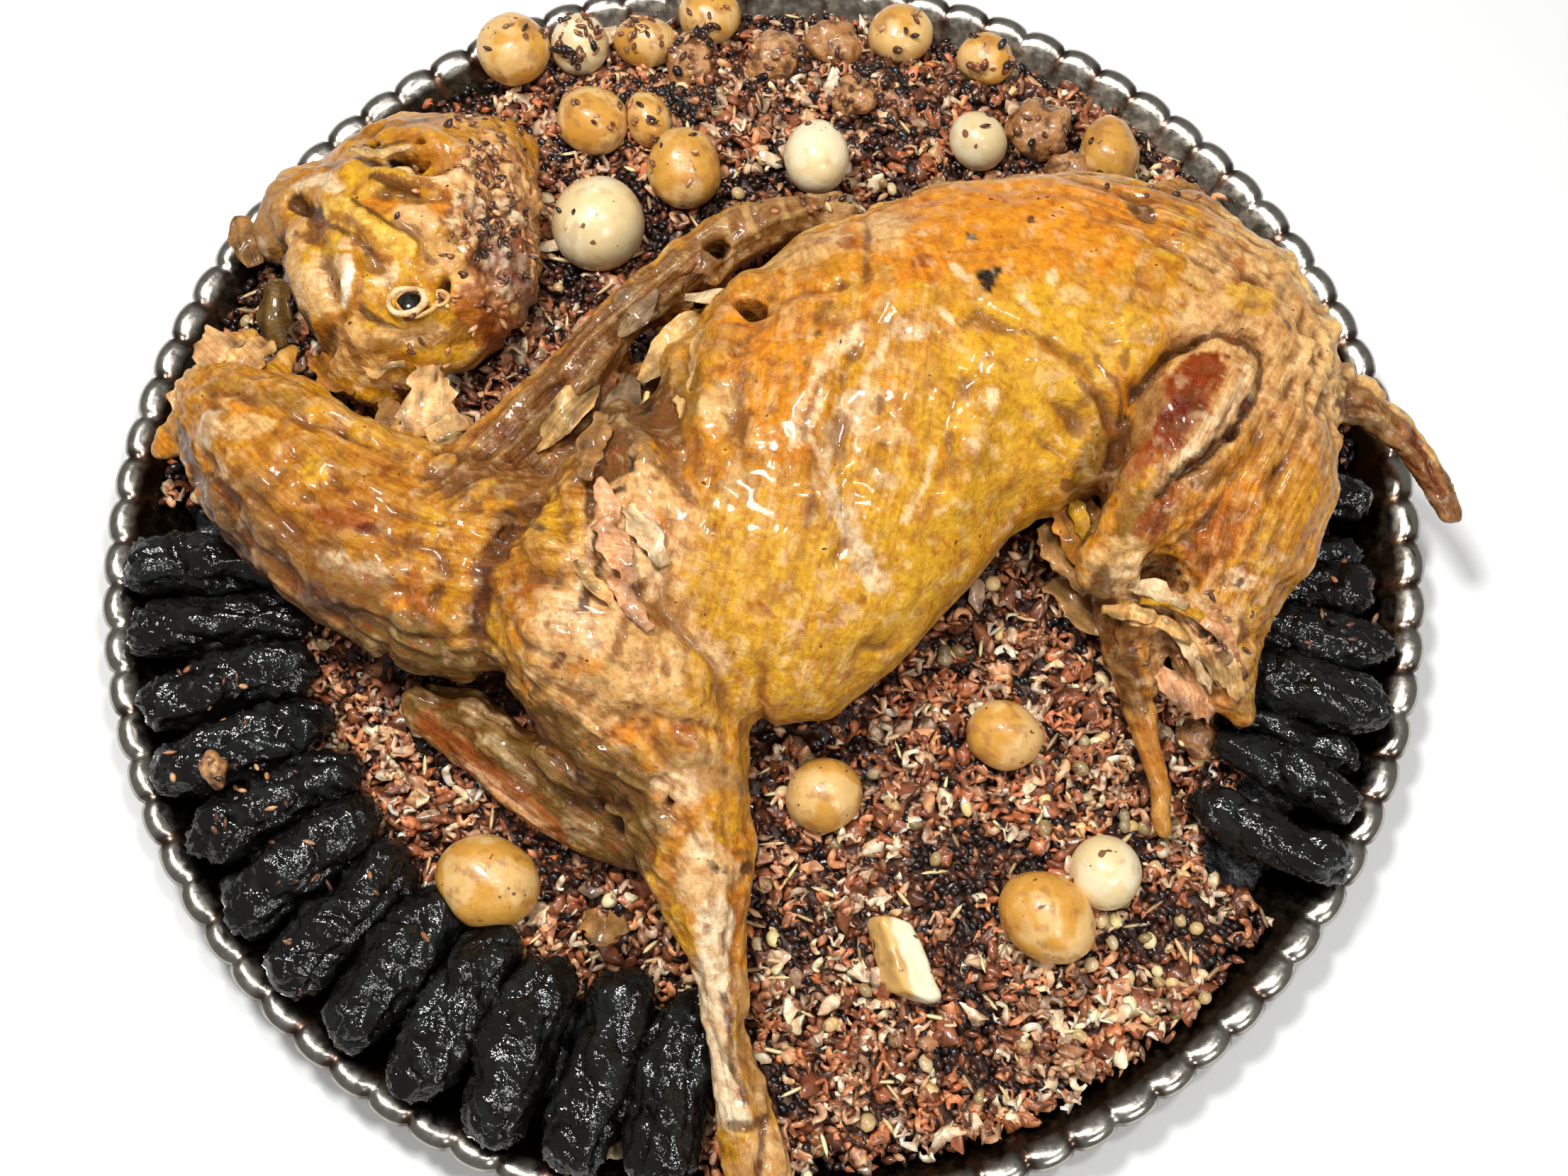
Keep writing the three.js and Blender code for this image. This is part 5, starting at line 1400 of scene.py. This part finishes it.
def solid_tree(names):
    points, triangles = [], []
    start = 0
    for name in names:
        p, t = node_mesh(name)
        points.append(p)
        triangles.append(t + start)
        start += len(p)
    points, triangles = np.concatenate(points), np.concatenate(triangles)
    return BVHTree.FromPolygons(points.tolist(), triangles.tolist())


bed_tree = solid_tree(["rice_bed"])
food_tree = solid_tree([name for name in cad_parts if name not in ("tray", "rice_bed")])
SKY = 400.0
DOWN = Vector((0, 0, -1))


def bed_top(x, y):
    """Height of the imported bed's surface, or None beside it."""
    hit = bed_tree.ray_cast(Vector((x, y, SKY)), DOWN)[0]
    return None if hit is None else hit.z


def covered(x, y, z):
    """True beneath or inside the food, away from its surface."""
    hit = food_tree.ray_cast(Vector((x, y, SKY)), DOWN)[0]
    if hit is None or hit.z < z + 1:
        return False
    return food_tree.find_nearest(Vector((x, y, z + 1)), SHELL)[0] is None


def overhung(x, y, z):
    """True in the air beneath a bulge of the food."""
    hit, normal, _, _ = food_tree.ray_cast(Vector((x, y, z + 1)), -DOWN)
    return hit is not None and normal.z < 0


def between_rolls(x, y):
    """True in the gaps between the rolls, where no grains show and the core is painted in shade."""
    angle = math.degrees(math.atan2(y, x))
    return any(
        (angle - first) % 360 < last - first and math.hypot(x, y) > radius
        for first, last, radius in ROLL_ARCS
    )


def open_spots(pitch, spread, seed, beneath=False):
    """Points [x, y, z] on the bed, in the open or beneath the food, jittered on a grid of that pitch."""
    draw = np.random.default_rng(seed)
    row_step = pitch * math.sqrt(3) / 2
    rows = int(BED_REACH / row_step) + 1
    spots = []
    for row in range(-rows, rows + 1):
        for column in range(-rows, rows + 1):
            jitter = (draw.random(3) - 0.5) * 2
            x = column * pitch + (row % 2) * pitch / 2 + jitter[0] * spread
            y = row * row_step + jitter[1] * spread
            if math.hypot(x, y) > BED_REACH or between_rolls(x, y):
                continue
            z = bed_top(x, y)
            if z is None or covered(x, y, z) != beneath:
                continue
            if beneath and not overhung(x, y, z):
                continue
            spots.append((x, y, z))
    return np.array(spots)


def turned_copies(shape, faces, spots, scales, headings, tilts, rolls, tones):
    """Copies of a small shape at spots, each turned and scaled its own way."""
    ch, sh = np.cos(headings), np.sin(headings)
    ct, st = np.cos(tilts), np.sin(tilts)
    cr, sr = np.cos(rolls), np.sin(rolls)
    turn = np.zeros((len(spots), 3, 3))
    turn[:, :, 0] = np.stack([ch * ct, sh * ct, st], axis=1)
    turn[:, :, 1] = np.stack([-sh * cr - ch * st * sr, ch * cr - sh * st * sr, ct * sr], axis=1)
    turn[:, :, 2] = np.stack([sh * sr - ch * st * cr, -ch * sr - sh * st * cr, ct * cr], axis=1)
    local = shape[None, :, :] * scales[:, None, :]
    points = np.einsum("nij,nkj->nki", turn, local) + spots[:, None, :]
    offsets = (np.arange(len(spots)) * len(shape))[:, None, None]
    all_faces = (faces[None, :, :] + offsets).reshape(-1, faces.shape[1])
    all_tones = np.repeat(tones, len(shape), axis=0)
    return points.reshape(-1, 3), all_faces, all_tones


def pod_shape(around, along, bend=0.0, pinch=1.0):
    """A grain's closed shape, two units long and two wide, of quads, with pointed ends."""
    t = np.linspace(-1, 1, along)
    size = np.sqrt(np.clip(1 - np.abs(t) ** (2 * pinch) * 0.985, 0, 1))
    angle = 2 * np.pi * np.arange(around) / around
    x = np.repeat(t[:, None], around, axis=1)
    y = size[:, None] * np.cos(angle)[None, :]
    z = size[:, None] * np.sin(angle)[None, :] + bend * (t**2)[:, None]
    return np.stack([x, y, z], axis=-1).reshape(-1, 3), tube_quads(along, around)


def shred_shape(turns):
    """A curl of shredded onion or flesh: a flat ribbon bent round and wavy, one unit long."""
    around, along = 4, 10
    t = np.linspace(0, 1, along)
    a = turns * 2 * np.pi * t
    radius = 0.42 * (1 - 0.35 * t)
    height = 0.3 * np.sin(3 * a + 0.5) + 0.22 * t
    middle = np.stack([radius * np.cos(a), radius * np.sin(a), height], axis=1)
    side, top = sides_of(middle)
    angle = 2 * np.pi * (np.arange(around) + 0.5) / around
    width = 0.21 * np.sin(np.pi * np.clip(t, 0.06, 0.94)) ** 0.5
    points = middle[:, None, :] + side[:, None, :] * (width[:, None] * np.cos(angle)[None, :])[:, :, None]
    points = points + top[:, None, :] * (0.42 * width[:, None] * np.sin(angle)[None, :])[:, :, None]
    return points.reshape(-1, 3), tube_quads(along, around)


def chip_shape(seed):
    """A crumpled chip of dried onion or flesh."""
    points, faces = pod_shape(8, 7, 0.45, 1.3)
    points = points * np.array([1, 1, 0.8])
    points = points + 0.35 * np.column_stack([noise(points, 0.7, seed + k) for k in range(3)])
    return points, faces


def scatter(name, shapes, spots, sizes, lifts, tilt, palette, seed, streak, material):
    """One piece of many small things: each takes a shape, a size [length, width, height] and a tone.

    streak is how much lighter and darker a thing is along its own length."""
    draw = np.random.default_rng(seed)
    count = len(spots)
    pick = draw.integers(len(shapes), size=count)
    scale = np.array(sizes) / 2 * (0.75 + 0.5 * draw.random((count, 3)))
    spots = spots + np.array([0, 0, 1]) * (lifts[0] + (lifts[1] - lifts[0]) * draw.random(count))[:, None]
    tones = np.array(palette)[draw.integers(len(palette), size=count)]
    tones = tones * (0.45 + 1.25 * draw.random((count, 1)) ** 1.2)
    parts = []
    for k, (shape, faces) in enumerate(shapes):
        mine = pick == k
        number = int(mine.sum())
        heading = draw.random(number) * 2 * np.pi
        lean = (draw.random(number) - 0.5) * 2 * tilt
        roll = (draw.random(number) - 0.5) * 2 * tilt
        parts.append(turned_copies(shape, faces, spots[mine], scale[mine], heading, lean, roll, tones[mine]))
    points, faces, tones = joined_meshes(parts)
    tones = tones * (1 + streak * noise(points, 2.6, seed))[:, None]
    make_object(name, points, faces, material, np.clip(tones, 0, 0.95))


def place_bed(core_material, grain_material):
    points, quads, normals = skin_of("rice_bed", BED_VOXEL, 2, -1.0)
    top = smooth_step(0.2, 0.7, normals[:, 2])
    points = points + normals * (top * (1.8 * noise(points, 7, 701) + 0.8 * noise(points, 4, 702)))[:, None]
    # painted shade: the core in dark brown, with paler brown patches
    tones = mottled(points, flat_tones(points, CORE_BROWN_IN_SHADE), [(CORE_BROWN, 1.0, 0.1, 0.9, 9, 703)])
    # painted shade: the core's top near black in the gaps between the rolls
    tones = paint(tones, CORE_SHADE, [between_rolls(x, y) for x, y, _ in points] * top)
    make_object("rice_core", points, quads, core_material, tones, ("rice_bed",))

    spots = open_spots(4.4, 2.6, 21)
    draw = np.random.default_rng(5)
    chance = draw.random(len(spots))
    wide = rough_noise(spots, 46, 710, 2)
    clump = rough_noise(spots, 20, 715, 2)
    north = smooth_step(60, 120, spots[:, 1])
    south = smooth_step(40, -60, spots[:, 1])
    black = (clump > 0.44 - 0.17 * north) & (chance < 0.78)
    curly = ~black & (chance < 0.22 + 0.22 * smooth_step(-0.3, 0.5, wide) * south)
    chips = ~black & ~curly & (chance > 0.42) & (chance < 0.55)
    dark = black | ((chance > 0.57) & (chance < 0.72 + 0.05 * north))
    kernel_zone = smooth_step(110, 190, spots[:, 0]) * smooth_step(-60, -120, spots[:, 1])
    kernel = ~black & (chance > 0.985 - 0.13 * kernel_zone * smooth_step(-0.3, 0.4, wide))
    plain = ~(curly | chips | dark | kernel)
    grain = [pod_shape(6, 4, 0.25), pod_shape(6, 4, -0.15, 1.4)]
    crumb = [pod_shape(6, 4, 0.1, 1.3), pod_shape(6, 4, 0.0, 1.1)]
    pearl = [pod_shape(10, 8, 0.0, 1.0)]
    curls = [shred_shape(0.45), shred_shape(0.75), shred_shape(0.3)]
    sliver = [pod_shape(4, 6, 0.2, 1.2)]
    chip = [chip_shape(seed) for seed in (720, 730, 740, 750)]
    few = open_spots(24, 11, 22)
    shade = open_spots(5.8, 3.0, 23, beneath=True)
    shade_tones = BROWN_RICE + NEARLY_BLACK
    for kind in [  # name, shapes, places, [length, width, height], lifts, tilt, colours, seed, streak
        ("rice_grains", grain, spots[plain], (8.5, 4.0, 3.4), (-0.5, 3.4), 0.6, BROWN_RICE, 31, 0.5),
        ("dark_grains", crumb, spots[dark], (6.2, 4.6, 4.2), (-0.6, 3.8), 0.8, NEARLY_BLACK, 32, 0.5),
        ("onion_shreds", curls, spots[curly], (23, 23, 18), (1.6, 6.0), 0.7, SHRED_TONES, 33, 0.6),
        ("onion_chips", chip, spots[chips], (12.5, 8.5, 4.6), (0.8, 4.8), 0.7, CHIP_TONES, 37, 0.6),
        ("wheat_kernels", pearl, spots[kernel], (8.0, 7.2, 6.6), (1.4, 4.4), 0.5, KERNEL_TONES, 34, 0.15),
        ("almond_slivers", sliver, few, (12, 2.4, 1.8), (3.6, 5.6), 0.5, ALMOND_TONES, 35, 0.2),
        ("shaded_grains", grain + crumb, shade, (8.8, 4.6, 3.8), (-0.5, 3.0), 0.7, shade_tones, 39, 0.5),
    ]:
        scatter(*kind, grain_material)


BITS = [  # x, y, half width, half depth, number: crumbs that cling to the food there
    (-138, 150, 26, 62, 260), (-160, 250, 18, 24, 30), (50, 165, 70, 10, 60), (-270, -110, 26, 60, 26),
    (-240, -190, 40, 40, 16), (300, -60, 20, 60, 16), (205, 150, 20, 12, 8), (-60, 292, 80, 12, 130),
    (120, 260, 80, 26, 60), (-60, 220, 40, 30, 40), (-172, 60, 24, 22, 30), (210, -80, 30, 26, 30),
    (20, 250, 120, 40, 150),
]


def place_bits(material):
    """Rice bits and crumbs that cling to the head, the potatoes, the rolls and the meat."""
    draw = np.random.default_rng(8)
    spots = []
    for x, y, width, depth, count in BITS:
        for px, py in draw.normal(size=(count, 2)) * 0.6:
            at = Vector((x + px * width, y + py * depth, SKY))
            hit, normal, _, _ = food_tree.ray_cast(at, DOWN)
            if hit is not None and normal.z > 0.35:
                spots.append((hit.x, hit.y, hit.z + 0.4))
    shapes = [pod_shape(6, 6, 0.25), pod_shape(5, 4, 0.1, 1.5)]
    spots = np.array(spots)
    scatter("clinging_bits", shapes, spots, (5.6, 2.8, 2.4), (0.0, 1.2), 0.5, CRUMB_TONES, 36, 0.5, material)


DRIFTS = [  # x, y, radius, height, number: heaps of dark grains against the food north of the lamb
    (-113, 272, 10, 4, 60), (-97, 262, 15, 5, 110), (-72, 260, 11, 4, 70), (-46, 248, 18, 6, 190),
    (-30, 284, 11, 4, 60), (-80, 238, 10, 4, 60), (-118, 222, 18, 4, 120), (14, 273, 12, 4, 60),
    (66, 262, 16, 6, 150), (16, 268, 12, 4, 70), (110, 262, 13, 5, 90), (60, 232, 16, 5, 110),
    (84, 226, 10, 4, 50), (104, 228, 8, 3, 40), (0, 250, 14, 4, 80), (130, 215, 12, 4, 50),
    (176, 200, 9, 3, 30), (140, 268, 9, 3, 40),
]


def place_drifts(material):
    """Dark glossy grains heaped on the bed, and partly over the potatoes and eggs."""
    draw = np.random.default_rng(9)
    spots = []
    for x, y, radius, height, count in DRIFTS:
        for px, py, up in draw.normal(size=(count, 3)) * 0.5:
            at = Vector((x + px * radius, y + py * radius, SKY))
            hit, normal, _, _ = food_tree.ray_cast(at, DOWN)
            if hit is None or normal.z < 0.25:
                hit = bed_tree.ray_cast(at, DOWN)[0]
            if hit is None or hit.z > 64:
                continue
            spots.append((hit.x, hit.y, hit.z + 1.5 + abs(up) * height * math.exp(-(px**2) - py**2)))
    shapes = [pod_shape(6, 5, 0.1, 1.3), pod_shape(6, 6, 0.2, 1.1)]
    spots = np.array(spots)
    scatter("heaped_grains", shapes, spots, (6.6, 4.4, 4.0), (0.0, 1.0), 0.8, DRIFT_TONES, 38, 0.5, material)


# The tray
RIM_LOBES = 90
LOBE_POINTS = 10
LOBE_DEPTH, NOTCH_DROP = 3.4, 2.4
STEEL = (0.50, 0.47, 0.41)
# painted reflections on the inner wall: dark where it mirrors the food, lighter on its far side
WALL_DARK_REFLECTION = (0.040, 0.030, 0.018)
WALL_BRIGHT_REFLECTION = (0.30, 0.26, 0.20)
NOTCH_BROWN = (0.07, 0.03, 0.015)
TRAY_PROFILE = [  # radius, height, share of the lobes' depth, outwards and round under
    (0, 2.6, 0), (140, 2.6, 0), (285, 2.6, 0), (300, 10, 0), (320, 22, 0.1), (334, 31.5, 0.5),
    (338, 34, 0.9), (341.5, 35.8, 1), (345, 36.2, 1), (348, 35, 1), (349.8, 32.6, 1), (349.2, 30.6, 1),
    (345, 29.6, 0.8), (339, 29.2, 0.3), (318, 17.6, 0), (286, 0.8, 0), (284, 0, 0), (140, 0, 0), (0, 0, 0),
]


def place_tray(material):
    columns = RIM_LOBES * LOBE_POINTS
    angle = 2 * np.pi * np.arange(columns) / columns
    phase = np.arange(columns) % LOBE_POINTS / LOBE_POINTS
    bulge = np.abs(np.sin(np.pi * phase)) ** 0.55
    rings = []
    for radius, height, share in TRAY_PROFILE:
        r = max(radius, 0.4) - share * LOBE_DEPTH * (1 - bulge)
        z = height - share * NOTCH_DROP * (1 - bulge)
        rings.append(np.stack([r * np.cos(angle), r * np.sin(angle), z], axis=1))
    points = np.concatenate(rings)
    quads = tube_quads(len(rings), columns, turned=True)
    in_notches = np.tile(smooth_step(0.85, 0.4, bulge), len(rings))
    share = np.repeat([p[2] for p in TRAY_PROFILE], columns)
    wall = smooth_step(340, 335, np.hypot(points[:, 0], points[:, 1]))
    # painted reflection: the inner wall dark
    tones = paint(flat_tones(points, STEEL), WALL_DARK_REFLECTION, wall)
    # painted reflection: the far side of the wall lighter
    tones = paint(tones, WALL_BRIGHT_REFLECTION, wall * smooth_step(240, 300, points[:, 1] + 0.3 * points[:, 0]))
    patchy = smooth_step(-0.9, 0.1, rough_noise(points, 12, 801))
    # brown in patches, darkest in the notches between the rim's lobes
    tones = paint(tones, NOTCH_BROWN, 0.95 * in_notches * (share > 0.4) * patchy)
    make_object("steel_tray", points, quads, material, tones, ("tray",))


def tray_material():
    material = food_material("polished_steel", 0.25, (0.6, 0.55, 0.5), 9, [(6, 0.15)], (0.16, 0.3), coat=0.0)
    material.node_tree.nodes["Principled BSDF"].inputs["Metallic"].default_value = 1.0
    return material


# Materials of the pieces
roast = food_material(
    "roast_skin", 0.5, (0.62, 0.38, 0.15), 9, [(6, 0.9), (2.2, 0.6), (0.9, 0.25)], (0.16, 0.42), coat=0.26,
    specular=0.16, spots=(5, 0.24, (0.12, 0.045, 0.012)), fibre=(0.9, 1.0),
    flecks=(5, 0.6, (1.14, 1.2, 1.3)),
)
roll_skin = food_material(
    "charred_leaf", 0.3, (0.5, 0.5, 0.5), 8, [(7, 2.2), (2.6, 0.25)], (0.04, 0.15), coat=0.0, specular=0.5,
)
potato_skin = food_material(
    "potato_skin", 0.3, (0.78, 0.55, 0.30), 12, [(7, 0.5), (1.6, 0.15)], (0.26, 0.45), coat=0.25,
    subsurface=0.12, spots=(4.5, 0.28, (0.20, 0.08, 0.03)),
)
egg_white = food_material(
    "egg_white", 0.25, (0.85, 0.74, 0.55), 10, [(8, 0.2)], (0.26, 0.36), coat=0.3, subsurface=0.2,
    spots=(5.5, 0.28, (0.22, 0.10, 0.04)),
)
meat_flesh = food_material(
    "stewed_meat", 0.6, (0.5, 0.36, 0.25), 6, [(4, 1.2), (1.4, 0.4)], (0.3, 0.55), coat=0.3
)
grain_skin = food_material("spiced_grain", 0.4, (0.6, 0.45, 0.32), 4, [(1.4, 0.2)], (0.2, 0.42), coat=0.3)
core_skin = food_material("rice_core", 0.5, (0.4, 0.35, 0.3), 5, [(3, 1.2)], (0.35, 0.6), coat=0.2)

place_tray(tray_material())
place_bed(core_skin, grain_skin)
place_lamb(roast)
place_head(roast)
place_rolls(roll_skin)
potato_look = (potato_skin, 1.7, 12, 1.0, [(16, 0.8), (7, 0.25)], POTATO_TONE, POTATO_BLOTCHES)
egg_look = (egg_white, 1.7, 18, 1.7, [(18, 0.25)], EGG_TONE, EGG_BLOTCHES)
meat_look = (meat_flesh, 1.5, 5, 0.6, [(9, 1.8), (4, 0.8)], MEAT_TONE, MEAT_BLOTCHES)
place_rounds("potato_0", "boiled_potato", "potato", *potato_look)
place_rounds("potato_1", "round_potato", "potato", *potato_look)
place_rounds("egg_", "boiled_egg", "egg", *egg_look)
place_rounds("meat_chunk", "meat_piece", "meat", *meat_look)
place_wedge(egg_white)
place_bits(grain_skin)
place_drifts(grain_skin)


# Floor, lights and camera, in metres
FLOOR_HALF = 40.0
FLOOR_DROP = 0.0005
FLOOR_TONE = (0.86, 0.86, 0.85, 1)
LIGHTS = [  # name, place, aim, size, power
    ("key", (-0.35, 0.3, 1.5), (0, 0, 0.05), 0.30, 19.0),
    ("fill", (0.7, -1.0, 1.3), (0, 0, 0.05), 0.6, 9.8),
    ("small", (0.3, 0.0, 1.6), (0.05, 0.0, 0.08), 0.15, 6),
]
WORLD_STRENGTH = 0.22
CAMERA_PLACE = (0.0105, -0.3407, 1.0306)
CAMERA_TILT = 17.5
SENSOR_WIDTH, LENS_LENGTH = 36, 45.57


def place_floor():
    material = bpy.data.materials.new("pale_floor")
    material.use_nodes = True
    shader = material.node_tree.nodes["Principled BSDF"]
    shader.inputs["Base Color"].default_value = FLOOR_TONE
    shader.inputs["Roughness"].default_value = 0.6
    mesh = bpy.data.meshes.new("floor")
    corners = [(x * FLOOR_HALF, y * FLOOR_HALF, 0) for x, y in ((-1, -1), (1, -1), (1, 1), (-1, 1))]
    mesh.from_pydata(corners, [], [(0, 1, 2, 3)])
    mesh.materials.append(material)
    floor = bpy.data.objects.new("floor", mesh)
    floor.location.z = -FLOOR_DROP
    bpy.context.scene.collection.objects.link(floor)


def place_light(name, place, aim, size, power):
    lamp = bpy.data.lights.new(name, "AREA")
    lamp.shape = "DISK"
    lamp.size = size
    lamp.energy = power
    light = bpy.data.objects.new(name, lamp)
    light.location = place
    light.rotation_euler = (Vector(aim) - Vector(place)).to_track_quat("-Z", "Y").to_euler()
    bpy.context.scene.collection.objects.link(light)


def place_camera():
    lens = bpy.data.cameras.new("camera")
    lens.sensor_width = SENSOR_WIDTH
    lens.lens = LENS_LENGTH
    camera = bpy.data.objects.new("camera", lens)
    camera.location = CAMERA_PLACE
    camera.rotation_euler = (math.radians(CAMERA_TILT), 0, 0)
    bpy.context.scene.collection.objects.link(camera)
    bpy.context.scene.camera = camera


place_floor()
for light_row in LIGHTS:
    place_light(*light_row)
world = bpy.data.worlds.new("studio")
world.use_nodes = True
world.node_tree.nodes["Background"].inputs["Color"].default_value = (1, 1, 1, 1)
world.node_tree.nodes["Background"].inputs["Strength"].default_value = WORLD_STRENGTH
bpy.context.scene.world = world
bpy.context.scene.view_settings.view_transform = "Standard"
place_camera()
